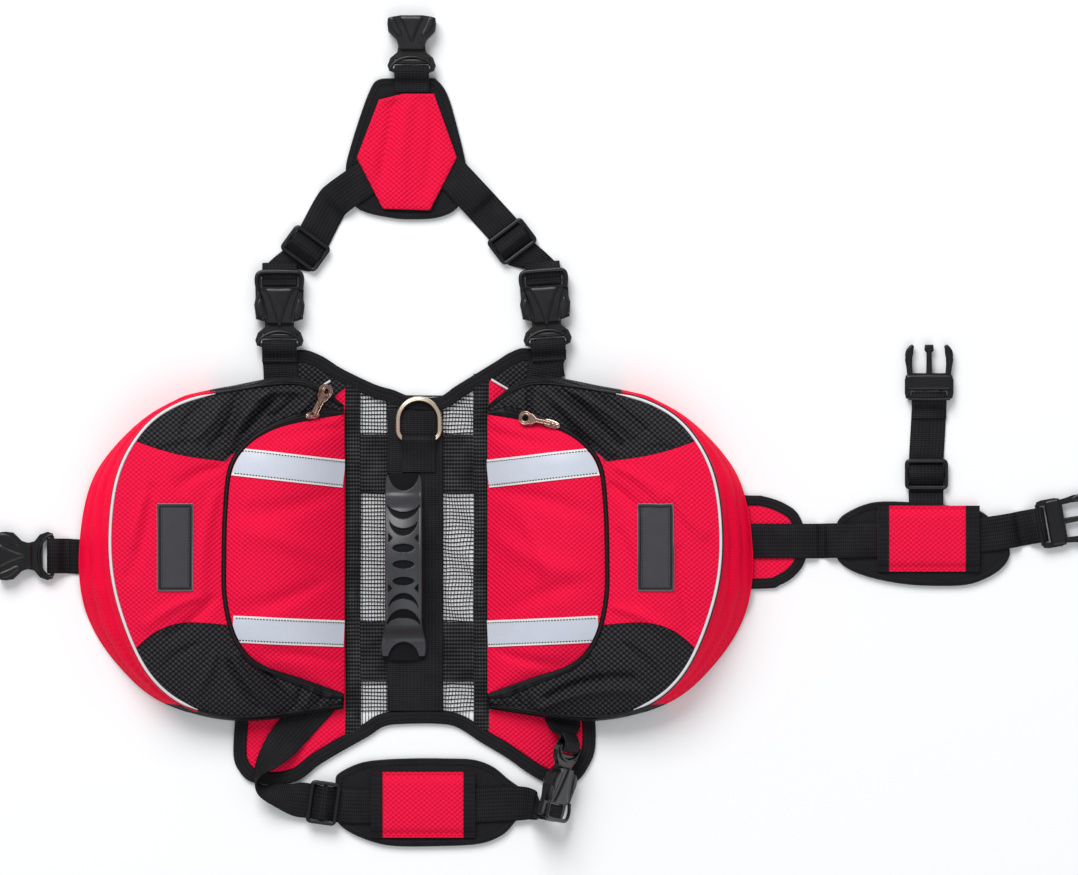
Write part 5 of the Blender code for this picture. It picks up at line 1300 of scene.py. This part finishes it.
def make_d_ring():
    turn = np.linspace(0.0, math.pi, 34)
    bend = np.linspace(0.0, math.pi / 2, 8)
    wire = [(0.0, 0.0)] + [(-8.0 - 7.0 * math.sin(a), 7.0 - 7.0 * math.cos(a)) for a in bend]
    wire += [(-15.0 * math.cos(a), 14.5 + 15.0 * math.sin(a)) for a in turn]
    wire += [(8.0 + 7.0 * math.sin(a), 7.0 - 7.0 * math.cos(a)) for a in bend[::-1]]
    line = resample(wire, 1.6, closed=True)
    path = np.column_stack([line[:, 0] + 2.1, line[:, 1] + 86.5, np.full(len(line), 6.7)])
    run = run_round(path)
    sides = np.column_stack([-run[:, 1], run[:, 0], np.zeros(len(run))])
    sweep("lead_ring", path, sides, round_profile(1.8, 16), "metal", "d_ring", body="ring", closed=True)
    base, over = 4.9, 1.8 + SEAM + WEBBING / 2
    profile = [(-23.0, base + 0.7), (-14.0, base + 0.7), (-8.0, base + 1.6)]
    profile += [(over * -math.cos(a), 6.7 + over * math.sin(a)) for a in np.linspace(0.75, math.pi - 0.35,
                                                                                     8)]
    profile += [(3.4, base + 0.7)]
    rows = [((2.1, 86.5 + y, z), (1.0, 0.0, 0.0), 24.6) for y, z in profile]
    strap("d_ring_cloth_tab", rows, "d_ring_tab")
    for tag, y in (("a", 66.0), ("b", 70.5)):
        level_stitches(f"d_ring_tab_sewing_{tag}", cross_line(-8.5, 12.5, y, 12), 6.35)


# Webbing and buckles

LOOP_RADIUS = 3.3
BAR_HEIGHT = LOOP_RADIUS + WEBBING / 2 + 0.1
BAR_ON_PAD = PAD_THICK + SEAM + BAR_HEIGHT
TRIGLIDE_LIFT, TRIGLIDE_THICK = 2.2, 2.6
CLOSED_LENGTH = 50.5
ON_TABLE = WEBBING / 2 + 0.1
ON_PAD = PAD_THICK + SEAM + WEBBING / 2
ON_YOKE = YOKE_THICK + SEAM + WEBBING / 2
ON_BINDING = BINDING_THICK + SEAM + WEBBING / 2


def strap(name, rows, nodes):
    """Webbing through rows of a middle point, a sideways direction and a width."""
    table = smooth_points([[*middle, *side, width] for middle, side, width in rows], 5)
    ob = sweep(name, table[:, :3], table[:, 3:6], ribbon_profile(WEBBING_WIDTH, WEBBING), "webbing", nodes,
               scale=np.column_stack([table[:, 6] / WEBBING_WIDTH, np.ones(len(table))]))


def buckle_frame(x, y, z, heading, pitch=0.0, roll=0.0):
    """A place for a buckle: its bar at the origin, its body towards +x, in millimetres."""
    turn = Matrix.Rotation(math.radians(heading), 4, "Z")
    turn = turn @ Matrix.Rotation(math.radians(pitch), 4, "Y") @ Matrix.Rotation(math.radians(roll), 4, "X")
    return Matrix.Translation(Vector((x, y, z))) @ turn


def rows_in(place, profile, width):
    """Rows of webbing at points (x, z) of a buckle's frame."""
    side = Vector(place.to_3x3().col[1]).normalized()
    return [(place @ Vector((x, 0.0, z)), side, width) for x, z in profile]


def loop_rows(place, width=WEBBING_WIDTH, tail=15.0, lead=9.0):
    """Webbing round a buckle's bar: it comes in below, turns over the bar and lies back on itself."""
    low = -LOOP_RADIUS
    back = low + WEBBING + SEAM
    profile = [(-lead, low), (-3.0, low)]
    profile += [(LOOP_RADIUS * math.sin(a), -LOOP_RADIUS * math.cos(a)) for a in np.linspace(0.0, math.pi,
                                                                                             9)]
    profile += [(-4.0, LOOP_RADIUS - 1.0), (-8.5, back + 0.3), (-tail, back)]
    return rows_in(place, profile, width)


def triglide_rows(place):
    """Webbing through a triglide: under its end bars and over its middle one."""
    high = TRIGLIDE_LIFT + TRIGLIDE_THICK + SEAM + WEBBING / 2 + 0.4
    half = [(1.9, high - 0.2), (8.5, ON_TABLE), (11.5, ON_TABLE)]
    profile = [(-x, z) for x, z in half[::-1]] + [(0.0, high)] + half
    return rows_in(place, profile, WEBBING_WIDTH)


def flat_rows(points):
    """Webbing along a route of x, y and middle height, lying level."""
    rows = []
    for i, (x, y, z) in enumerate(points):
        x0, y0, _ = points[max(i - 1, 0)]
        x1, y1, _ = points[min(i + 1, len(points) - 1)]
        along = Vector((x1 - x0, y1 - y0, 0.0)).normalized()
        rows.append((Vector((x, y, z)), Vector((-along.y, along.x, 0.0)), WEBBING_WIDTH))
    return rows


def far_bar(place):
    """The place of a closed buckle's other bar, turned round so that webbing comes from its side."""
    return place @ Matrix.Translation(Vector((CLOSED_LENGTH, 0.0, 0.0))) @ Matrix.Rotation(math.pi, 4, "Z")


def stitch_box(name, place, x0, x1, half, z):
    """A sewn box on a strap, in a buckle's frame."""
    line = resample([(x0, -half), (x1, -half), (x1, half), (x0, half), (x0, -half)], 1.0)
    path = placed(place, [(x, y, z) for x, y in line])
    return stitches(name, path, np.tile(axis_of(place, 2), (len(path), 1)))


def dress(node, finish, width=0.45):
    """Keeps a solid as it is, with a finish and rounded edges."""
    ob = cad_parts[node]
    ob.data.materials.clear()
    ob.data.materials.append(FINISHES[finish])
    step = ob.modifiers.new("rounding", "BEVEL")
    step.width = width * MM
    step.segments = 3
    step.limit_method = "ANGLE"
    step.angle_limit = math.radians(38)
    step.use_clamp_overlap = True
    step.harden_normals = True


def moulded(name, place, outline, low, top, body, edge, step, finish="plastic"):
    """A moulded detail that is added to a buckle, in its frame."""
    return cushion(name, outline, low, top, finish, step=step, edge=edge, body=body, place=place)


# Pads and panels

CHEST_PAD_LINE = [
    (-17.0, 346.6), (-27.7, 345.2), (-33.0, 338.0), (-39.9, 319.7), (-47.5, 295.2), (-50.4, 280.8),
    (-48.5, 263.0), (-40.0, 252.0), (-18.0, 246.4), (0.0, 245.3), (17.0, 246.9), (29.5, 253.4),
    (36.5, 268.0), (36.0, 284.0), (29.5, 311.8), (22.5, 335.0), (15.0, 345.2), (9.0, 346.6),
]
CHEST_PANEL_LINE = [
    (-26.6, 331.2), (-9.0, 335.5), (13.0, 335.5), (29.5, 289.4), (10.1, 251.6), (-23.8, 252.7),
    (-42.5, 289.4),
]
GIRTH_PAD_LINE = [
    (303.1, 26.6), (310.0, 33.8), (326.4, 40.8), (345.0, 42.0), (372.0, 40.0), (400.9, 36.7), (414.0, 29.0),
    (424.0, 14.0), (427.3, 4.8), (422.6, -4.5), (411.8, -12.2), (396.2, -17.6), (373.0, -18.4),
    (349.7, -16.9), (326.4, -12.2), (310.9, -6.0), (303.1, 1.7), (301.8, 14.0),
]
REAR_PAD_LINE = [
    (-57.8, -160.0), (-55.2, -153.5), (-40.8, -146.4), (-24.7, -143.8), (0.0, -142.8), (20.1, -142.9),
    (41.5, -143.8), (55.9, -149.2), (66.7, -158.1), (79.0, -167.0), (82.0, -175.0), (79.0, -183.0),
    (72.0, -187.5), (63.1, -197.0), (46.9, -203.8), (20.1, -205.6), (-15.8, -205.6), (-35.4, -201.1),
    (-51.6, -193.0), (-58.2, -183.0),
]


def padded(name, outline, points, node):
    """A padded piece with a bound edge: the binding is a ring that is sewn over the rim."""
    line = turned(smooth_line(outline, points, closed=True))

    def puff(x, y, away):
        return 0.3 * ease((away - 4.5) / 5.0) + 0.12 * np.sin(x * 0.19) * np.sin(y * 0.21 + 0.6)

    ob = cushion(name, line, 0.0, PAD_THICK - 0.5, "pad_knit", node, step=3.0, edge=1.6, relief=puff)
    ring = resample(smooth_points(line, 3, closed=True), 1.8, closed=True)
    run = run_round(ring)
    run /= np.linalg.norm(run, axis=1, keepdims=True)
    inward = np.stack([-run[:, 1], run[:, 0]], axis=1)
    middle = ring + inward * 2.4
    sides = np.column_stack([inward, np.zeros(len(ring))])
    edge = sweep(f"{name}_binding", level_path(middle, PAD_THICK / 2 + 0.05), sides,
                 ribbon_profile(5.2, PAD_THICK + 0.1, 1.5), "binding", closed=True)
    inner = ring + inward * 4.2
    level_stitches(f"{name}_sewing", np.concatenate([inner, inner[:1]]), PAD_THICK + 0.02)
    return ob


def make_sleeve(name, node, x_ends, y_ends, bars):
    """A red sleeve over a strap, with a black bar at each end and two sewn seams."""
    form = [(0.0, 0.0), (0.06, 0.0), (0.13, 0.8), (0.22, 1.0), (0.5, 1.0), (0.78, 1.0), (0.87, 0.8),
            (0.94, 0.0),
            (1.0, 0.0)]
    shares, raised = smooth_points(form, 5).T
    raised = np.clip(raised, 0.0, 1.04)
    along = np.linspace(0.0, 1.0, 60)[:, None]
    base = PAD_THICK + SEAM + CLOTH
    crown = 1.2 * np.sin(math.pi * along) * np.sin(math.pi * shares)[None, :]
    ripple = 0.16 * np.sin(along * 31.0 + shares[None, :] * 3.0) * np.sin(math.pi * shares)[None, :]
    height = base + (WEBBING + SEAM + 0.4 + crown + ripple) * raised[None, :]
    x, y = between(x_ends, along), between(y_ends, shares)[None, :]
    points = np.stack(np.broadcast_arrays(x, y, height), axis=2)
    ob = shell(name, points, CLOTH, "red_cloth", node, uv=points[..., :2])
    for tag, (x0, x1) in bars.items():
        rows = np.linspace((x0 - x_ends[0]) / (x_ends[1] - x_ends[0]),
                           (x1 - x_ends[0]) / (x_ends[1] - x_ends[0]), 9)
        rows = rows[:, None]
        crown = 1.2 * np.sin(math.pi * np.clip(rows, 0, 1)) * np.sin(math.pi * shares)[None, :]
        height = base + 0.55 + (WEBBING + SEAM + 0.4 + crown) * raised[None, :]
        x, y = between(x_ends, rows), between(y_ends, shares)[None, :]
        bar = np.stack(np.broadcast_arrays(x, y, height), axis=2)
        made = shell(f"{name}_bar_{tag}", bar, 0.5, "binding")
    for tag, share in (("a", 0.035), ("b", 0.965)):
        line = cross_line(x_ends[0] + 2, x_ends[1] - 2, between(y_ends, share), 30)
        level_stitches(f"{name}_sewing_{tag}", line, base + 0.03, "red_thread")


CHEST_FOLDS = [
    (-16.0, 334.0, -30.0, 260.0, 2.0, 5.0, -1.6), (-4.0, 334.0, -10.0, 258.0, -3.0, 7.0, 1.6),
    (11.0, 332.0, 7.0, 268.0, 3.0, 5.0, -1.2), (-36.0, 302.0, -22.0, 260.0, 1.0, 4.0, 1.2),
]


def make_chest():
    padded("chest_padding", CHEST_PAD_LINE, 44, "chest_pad")
    low = ON_PAD + WEBBING / 2 + SEAM
    outline = turned(np.array(CHEST_PANEL_LINE))

    def folded_edge(x, y, away):
        return (0.35 * (1 - ease((away - 4.0) / 1.2)) + 0.5 * np.sin(math.pi * np.clip((y - 252) / 84, 0, 1))
                * ease(away / 12) + 0.12 * np.sin(x * 0.31 + y * 0.07) * np.clip(away / 6, 0, 1)
                + relief_of(CHEST_FOLDS, x, y) * ease(away / 8))

    ob = cushion("chest_hexagon", outline, low, low + CLOTH, "red_cloth", "chest_panel", step=1.6, edge=0.7,
                 relief=folded_edge)
    seam = resample(offset_closed(outline, 2.6), 1.0, closed=True)
    level_stitches("chest_hexagon_sewing", np.concatenate([seam, seam[:1]]), low + CLOTH + 0.33,
                   "red_thread",
                   pitch=2.4)
    end_x = -3.0
    tab = flat_rows([(end_x, 322.0, ON_PAD), (end_x, 334.0, ON_PAD)])
    level = buckle_frame(end_x, 352.0, BAR_ON_PAD, 90.0)
    strap("chest_cloth_loop", tab + loop_rows(level), "chest_loop")
    open_socket("chest_socket", buckle_frame(end_x, 352.0, BAR_ON_PAD, 90.0, pitch=5.2), "chest_half",
                4.3)


def offset_closed(outline, distance):
    """A closed outline moved inwards."""
    outline = np.asarray(outline, float)
    made = []
    for before, here, after in zip(np.roll(outline, 1, axis=0), outline, np.roll(outline, -1, axis=0)):
        a, b = here - before, after - here
        a, b = a / np.linalg.norm(a), b / np.linalg.norm(b)
        normal = np.array([-a[1] - b[1], a[0] + b[0]])
        normal /= np.linalg.norm(normal)
        made.append(here + normal * distance / max(0.4, normal @ np.array([-a[1], a[0]])))
    return np.array(made)


# Hard pieces

def turned(outline):
    """An outline that runs anticlockwise."""
    return outline if signed_area(outline) > 0 else outline[::-1]


def outline_of(half):
    """A closed outline from the half of it on one side of the middle line."""
    line = smooth_points(half, 4)
    return turned(np.concatenate([line, (line * (1.0, -1.0))[::-1][1:-1]]))


def both_faces(place):
    """A buckle's upper side and its underside, each with its tag and place."""
    return (("upper", place), ("under", place @ Matrix.Rotation(math.pi, 4, "X")))


def moulded_pair(name, place, outline, *sizes, smooth=True, finish="plastic"):
    """The same moulded detail on the left and the right of a buckle."""
    for tag, way in (("l", -1), ("r", 1)):
        line = [(x, y * way) for x, y in outline]
        if smooth:
            line = smooth_points(line, 4, closed=True)
        moulded(f"{name}_{tag}", place, turned(line), *sizes, finish=finish)


def rod(name, place, points, profile, body):
    """A moulded bar along points of a buckle's frame."""
    path = placed(place, points)
    sweep(name, path, np.cross(np.gradient(path, axis=0), axis_of(place, 2)), profile, "plastic", body=body)


def window_arch(node, place, body, start):
    """The arched rim over a ring's window, and the hollow shield in it from a start to the rim."""
    arc = [(-0.6, 15.2), (2.6, 14.6), (6.2, 11.6), (8.8, 6.6), (9.9, 0.0)]
    arc = smooth_points(arc + [(x, -y) for x, y in arc[-2::-1]], 5)
    rod(f"{node}_arch", place, [(x, y, 2.0) for x, y in arc], round_profile(1.15, 10), body)
    shield = [(start, -13.7), (8.9, -13.7), (8.9, 13.7), (start, 13.7), (start + 0.5, 7.0),
              (start + 0.7, 0.0),
              (start + 0.5, -7.0)]
    moulded(f"{node}_shield", place, shield, -1.0, 1.7, body, 1.2, 1.0)


def open_socket(node, place, body, slit):
    """The loose socket: the solid, with a crest between two ears on it, and an arch over its window."""
    dress(node, "plastic")
    crest = outline_of([(19.0, 0.0), (20.6, 1.4), (26.0, 3.4), (32.0, 5.8), (38.4, 8.4), (39.0, 0.0)])
    ear = [(23.0, 8.6), (28.0, 13.4), (33.0, 16.0), (37.4, 16.0), (38.0, 12.4), (31.0, 9.2), (26.0, 6.8)]
    for tag, face in both_faces(place):
        top, rise = (6.0, 0.9) if tag == "upper" else (3.6, 0.4)
        moulded(f"{node}_crest_{tag}", face, crest, top - 0.5, top + rise, body, 2.2, 0.9)
        moulded_pair(f"{node}_ear_{tag}", face, ear, top - 0.5, top + 0.5, body, 1.5, 0.9)
    window_arch(node, place, body, slit)


def closed_buckle(node, place):
    """A fastened buckle: the solid, its crest and buttons, an arch at one bar, a frame at the other."""
    dress(node, "plastic")
    body = "harness"
    crest = outline_of([(13.4, 0.0), (15.0, 1.3), (20.0, 3.0), (27.0, 5.2), (34.0, 7.8), (40.4, 10.0),
                        (40.8, 0.0)])
    button = [(18.0, 11.4), (21.0, 15.4), (26.0, 17.2), (31.0, 15.8), (33.0, 13.6), (28.0, 11.6),
              (22.0, 10.4)]
    slit = [(17.5, 7.6), (25.0, 9.0), (33.0, 11.0), (39.0, 13.6), (39.0, 14.4), (32.6, 12.0), (24.6, 9.9),
            (17.3, 8.4)]
    for tag, face in both_faces(place):
        top = 5.6 if tag == "upper" else 3.4
        moulded(f"{node}_crest_{tag}", face, crest, top - 0.8, top + 1.0, body, 2.2, 1.0)
        moulded_pair(f"{node}_button_{tag}", face, button, top - 0.6, top + 0.5, body, 1.4, 0.9)
        # The slits are thin near-black slivers on the surface: painted shade where the gaps are.
        moulded_pair(f"{node}_slit_{tag}", face, slit, top - 0.4, top + 0.05, body, 0.15, 0.9, smooth=False,
                     finish="recess_painted_shade")
    window_arch(node, place, body, 4.4)
    line = [(39.5, 15.4), (45.0, 16.4), (50.0, 16.0), (52.2, 13.6), (52.6, 9.0), (52.7, 0.0)]
    line = smooth_points(line + [(x, -y) for x, y in line[-2::-1]], 4)
    heights = 5.0 + 0.9 * ease((line[:, 0] - 39.5) / 8.0)
    rod(f"{node}_frame", place, np.column_stack([line, heights]), round_profile(1.5, 12, 0.8), body)
    inset = [(42.2, -12.8), (49.2, -12.8), (49.2, 12.8), (42.2, 12.8)]
    ob = moulded(f"{node}_webbing_in_window", place, inset, 0.4, 2.4, body, 0.9, 1.0, finish="webbing")


def open_plug(node, place, body):
    """The loose plug: the solid, with leaf-shaped prong ends, a guide and a thick collar over its window."""
    dress(node, "plastic", 0.35)
    guide = outline_of([(14.0, 0.0), (14.0, 3.6), (19.0, 2.0), (32.0, 1.4), (34.4, 3.0), (37.6, 2.8),
                        (38.0, 0.0)])
    leaf = [(24.5, 14.6), (27.5, 16.7), (31.0, 17.2), (34.6, 16.2), (38.0, 13.0), (37.2, 11.4), (33.6, 11.3),
            (29.0, 12.0), (25.5, 13.2)]
    collar = outline_of([(5.0, 0.0), (5.0, 13.0), (6.0, 16.4), (13.0, 17.0), (16.4, 16.0), (16.8, 8.0),
                         (17.0, 0.0)])
    for tag, face in both_faces(place):
        moulded(f"{node}_guide_{tag}", face, guide, 0.8, 2.1, body, 0.7, 0.8)
        moulded_pair(f"{node}_leaf_{tag}", face, leaf, 1.0, 2.4, body, 1.3, 0.8)
        moulded(f"{node}_collar_{tag}", face, collar, -0.4, 3.0, body, 1.8, 1.0)
    bar = smooth_points([(-1.0, -15.0), (-1.4, 0.0), (-1.0, 15.0)], 8)
    rod(f"{node}_front_bar", place, [(x, y, 4.4) for x, y in bar], round_profile(1.0, 10), body)


def triglide(node, place):
    """A triglide: the solid, with raised rounded bars along its frame."""
    dress(node, "plastic", 0.6)
    top = TRIGLIDE_LIFT + TRIGLIDE_THICK
    half_length, half_width = 11.0, 15.5
    corners = [(-half_length + 1.4, -half_width + 1.4), (half_length - 1.4, -half_width + 1.4),
               (half_length - 1.4, half_width - 1.4), (-half_length + 1.4, half_width - 1.4)]
    line = resample(smooth_corners(corners, 2.4), 0.9, closed=True)
    path = np.array([place @ Vector((x, y, top - 0.1)) for x, y in line])
    run = run_round(path)
    sweep(f"{node}_rim", path, np.cross(run, UP), round_profile(1.5, 10, 0.75), "plastic", closed=True)


def smooth_corners(corners, radius):
    """An outline whose corners are rounded by arcs."""
    made = []
    count = len(corners)
    for i, corner in enumerate(corners):
        corner = np.array(corner)
        before, after = np.array(corners[i - 1]), np.array(corners[(i + 1) % count])
        a = corner + (before - corner) / np.linalg.norm(before - corner) * radius
        b = corner + (after - corner) / np.linalg.norm(after - corner) * radius
        for t in (0.0, 0.25, 0.5, 0.75, 1.0):
            made.append((1 - t) ** 2 * a + 2 * t * (1 - t) * corner + t * t * b)
    return made


# Straps with their buckles


def make_neck(tag, pad_point, triglide_at, heading, buckle_at, buckle_heading, stub_from):
    """A neck strap from the chest pad through its triglide to the fastened shoulder buckle."""
    tilt = math.degrees(math.asin((BAR_ON_PAD - BAR_HEIGHT) / CLOSED_LENGTH))
    closed = buckle_frame(*buckle_at, BAR_ON_PAD, buckle_heading, pitch=tilt)
    top_bar = far_bar(closed)
    slide = buckle_frame(*triglide_at, 0.0, heading)
    start, edge, down = pad_point
    rows = flat_rows([(*start, ON_PAD), (*edge, ON_PAD), (*down, ON_TABLE)])
    rows += triglide_rows(slide)
    rows += loop_rows(buckle_frame(*top_bar.translation, buckle_heading + 180), tail=6.5, lead=4.5)
    strap(f"neck_cloth_strap_{tag}", rows, f"neck_strap_{tag}")
    triglide(f"triglide_{tag}", slide)
    closed_buckle(f"shoulder_buckle_{tag}", closed)
    low_level = buckle_frame(*buckle_at, BAR_ON_PAD, buckle_heading)
    near = [between(ends, 0.4) for ends in zip(stub_from, buckle_at)]
    stub = flat_rows([(*stub_from, ON_BINDING), (*near, ON_BINDING)]) + loop_rows(low_level, tail=12.0)
    strap(f"shoulder_cloth_stub_{tag}", stub, f"shoulder_stub_{tag}")
    stitch_box(f"shoulder_sewing_{tag}", low_level, -20.5, -13.0, 10.0,
               ON_BINDING + WEBBING / 2 - BAR_ON_PAD)


def make_girth_left():
    place = buckle_frame(-261.5, 3.0, BAR_HEIGHT, 180.0)
    route = [(-214.0, 1.5, ON_YOKE), (-233.5, 2.0, ON_YOKE), (-240.0, 2.3, ON_TABLE),
             (-246.0, 2.6, ON_TABLE)]
    strap("girth_cloth_strap_left", flat_rows(route) + loop_rows(place, tail=12.0), "girth_strap_left")
    open_socket("left_socket", place, "left_half", 6.3)


def make_girth_right():
    padded("girth_padding", GIRTH_PAD_LINE, 44, "girth_pad")
    plug = buckle_frame(449.5, 25.2, BAR_HEIGHT, 10.0)
    route = [
        (214.0, 13.7, ON_YOKE), (281.5, 13.7, ON_YOKE), (288.0, 13.7, ON_TABLE), (294.0, 13.8, ON_TABLE),
        (300.5, 14.0, ON_PAD), (332.0, 14.4, ON_PAD), (372.0, 15.6, ON_PAD), (410.0, 18.6, ON_PAD),
        (428.0, 21.2, ON_PAD), (434.0, 22.4, ON_TABLE),
    ]
    strap("girth_cloth_strap_right", flat_rows(route) + loop_rows(plug, tail=10.0, lead=7.0),
          "girth_strap_right")
    make_sleeve("girth_cloth_sleeve", "girth_sleeve", (331.8, 405.6), (-8.2, 39.2),
                {"left": (331.8, 340.3), "right": (395.5, 405.6)})
    open_plug("right_plug", plug, "right_half")
    slide = buckle_frame(367.3, 61.8, 0.0, 90.0)
    branch = buckle_frame(369.2, 117.0, BAR_HEIGHT, 90.0)
    rows = flat_rows([(367.0, 39.8, ON_PAD), (367.0, 43.8, ON_PAD), (367.0, 49.0, ON_TABLE)])
    strap("branch_cloth_strap", rows + triglide_rows(slide) + loop_rows(branch), "branch_strap")
    triglide("branch_triglide", slide)
    open_plug("branch_plug", branch, "branch_half")
    stitch_box("girth_strap_sewing", buckle_frame(252.0, 13.7, 0.0, 0.0), 0.0, 20.0, 9.6,
               ON_YOKE + WEBBING / 2)


def twist_row(x, y, z, width, heading, roll):
    """A row of webbing that heads one way and is rolled about that way."""
    turn = Matrix.Rotation(math.radians(heading), 3, "Z") @ Matrix.Rotation(math.radians(roll), 3, "X")
    return (Vector((x, y, z)), turn @ Vector((0.0, 1.0, 0.0)), width)


REAR_TWIST = [
    # x, y, middle height, width, heading, roll
    (-62.0, -94.0, ON_YOKE, 25.0, 228.0, 0.0),
    (-85.0, -119.0, ON_YOKE + 0.2, 25.0, 228.0, 0.0),
    (-97.0, -133.0, 6.4, 24.0, 230.0, 8.0),
    (-107.0, -145.0, 9.5, 18.0, 236.0, 30.0),
    (-113.5, -153.5, 11.5, 13.0, 250.0, 65.0),
    (-114.5, -160.5, 11.2, 12.0, 290.0, 95.0),
    (-110.0, -165.5, 9.6, 13.5, 320.0, 130.0),
    (-101.0, -168.5, 8.4, 17.0, 345.0, 160.0),
    (-92.0, -171.2, 6.2, 21.0, 348.0, 174.0),
    (-84.5, -172.2, ON_PAD, 25.0, 350.0, 180.0),
]
REAR_STUB = [
    (101.0, -98.0, ON_YOKE, 23.0, 280.0, 0.0),
    (104.0, -112.0, ON_YOKE + 0.2, 23.0, 280.0, 0.0),
    (107.5, -120.0, 8.0, 23.0, 278.0, -18.0),
]
REAR_LEAN = 62.0
REAR_FLAT = [
    (-40.0, -177.0, ON_PAD, 25.0, -4.0, 180.0),
    (20.0, -177.0, ON_PAD, 25.0, 0.0, 180.0),
    (70.0, -175.0, ON_PAD, 25.0, 2.0, 180.0),
]
REAR_RISE = [
    (83.0, -175.8, ON_PAD, 22.0, 350.0, 180.0),
    (86.0, -178.0, 9.0, 20.0, 350.0, 150.0),
    (89.0, -180.5, 14.5, 20.0, 345.0, 120.0),
]


def make_rear_belt():
    padded("rear_padding", REAR_PAD_LINE, 48, "rear_pad")
    slide = buckle_frame(-66.5, -174.6, ON_PAD - ON_TABLE, -8.0)
    triglide("rear_triglide", slide)
    rows = [twist_row(*row) for row in REAR_TWIST]
    rows += [(middle, -side, width) for middle, side, width in triglide_rows(slide)[1:]]
    rows += [twist_row(*row) for row in REAR_FLAT + REAR_RISE]
    closed = buckle_frame(109.5, -134.0, 21.6, 255.0, roll=-REAR_LEAN)
    lower = far_bar(closed) @ Matrix.Rotation(math.radians(-REAR_LEAN), 4, "Y")
    rows += loop_rows(lower, tail=8.0, lead=5.0, width=20.0)
    strap("rear_cloth_strap", rows, "rear_strap")
    make_sleeve("rear_cloth_sleeve", "rear_sleeve", (-32.5, 42.7), (-199.6, -152.4),
                {"left": (-32.5, -24.0), "right": (34.2, 42.7)})
    closed_buckle("rear_buckle", closed)
    upper = loop_rows(closed, tail=9.0, lead=7.0, width=22.0)
    strap("rear_cloth_stub", [twist_row(*row) for row in REAR_STUB] + upper, "rear_stub")


# The surface, the light and the camera


def make_surroundings():
    """A white surface under soft light from the head end, seen from straight above."""
    scene = bpy.context.scene
    mesh = bpy.data.meshes.new("surface")
    reach = 30.0
    mesh.from_pydata([(-reach, -reach, -0.0004), (reach, -reach, -0.0004), (reach, reach, -0.0004),
                      (-reach, reach, -0.0004)], [], [(0, 1, 2, 3)])
    white = Finish("surface_white", (0.93, 0.935, 0.94), 0.7)
    mesh.materials.append(white.material)
    floor = bpy.data.objects.new("surface", mesh)
    scene.collection.objects.link(floor)
    world = bpy.data.worlds.new("studio")
    world.use_nodes = True
    world.node_tree.nodes["Background"].inputs["Color"].default_value = (0.94, 0.97, 1.0, 1.0)
    world.node_tree.nodes["Background"].inputs["Strength"].default_value = 0.42
    scene.world = world
    lamps = [
        # name, place, size, power
        ("key", (-1.2, 3.6, 3.8), 3.0, 241.0),
        ("fill", (1.0, -3.0, 4.5), 4.0, 63.0),
    ]
    for name, place, size, power in lamps:
        light = bpy.data.lights.new(name, "AREA")
        light.size = size
        light.energy = power
        lamp = bpy.data.objects.new(name, light)
        lamp.location = place
        target = Vector((0.08, 0.05, 0.0))
        lamp.rotation_euler = (target - Vector(place)).to_track_quat("-Z", "Y").to_euler()
        scene.collection.objects.link(lamp)
    camera = bpy.data.cameras.new("camera")
    camera.sensor_width = 36.0
    camera.lens = 464.0
    camera.clip_end = 100.0
    view = bpy.data.objects.new("camera", camera)
    view.location = (0.08856, 0.0882, 10.0)
    scene.collection.objects.link(view)
    scene.camera = view
    scene.view_settings.view_transform = "Standard"


def main():
    make_yoke()
    make_spine()
    make_handle()
    make_d_ring()
    for side, tag in ((-1, "left"), (1, "right")):
        make_bag(side, tag)
        dress(f"bag_{tag}_pull", "rose_metal", 0.4)
    make_chest()
    make_neck(
        "left", ((-27.0, 281.0), (-55.0, 261.5), (-62.5, 253.0)), (-79.5, 224.3), 234.0,
        (-98.1, 154.5), 90.0, (-97.0, 129.5),
    )
    make_neck(
        "right", ((20.0, 284.0), (43.0, 259.5), (49.0, 253.0)), (69.2, 229.3), 307.0,
        (95.0, 155.5), 94.0, (92.0, 129.5),
    )
    make_girth_left()
    make_girth_right()
    make_rear_belt()
    make_surroundings()


main()
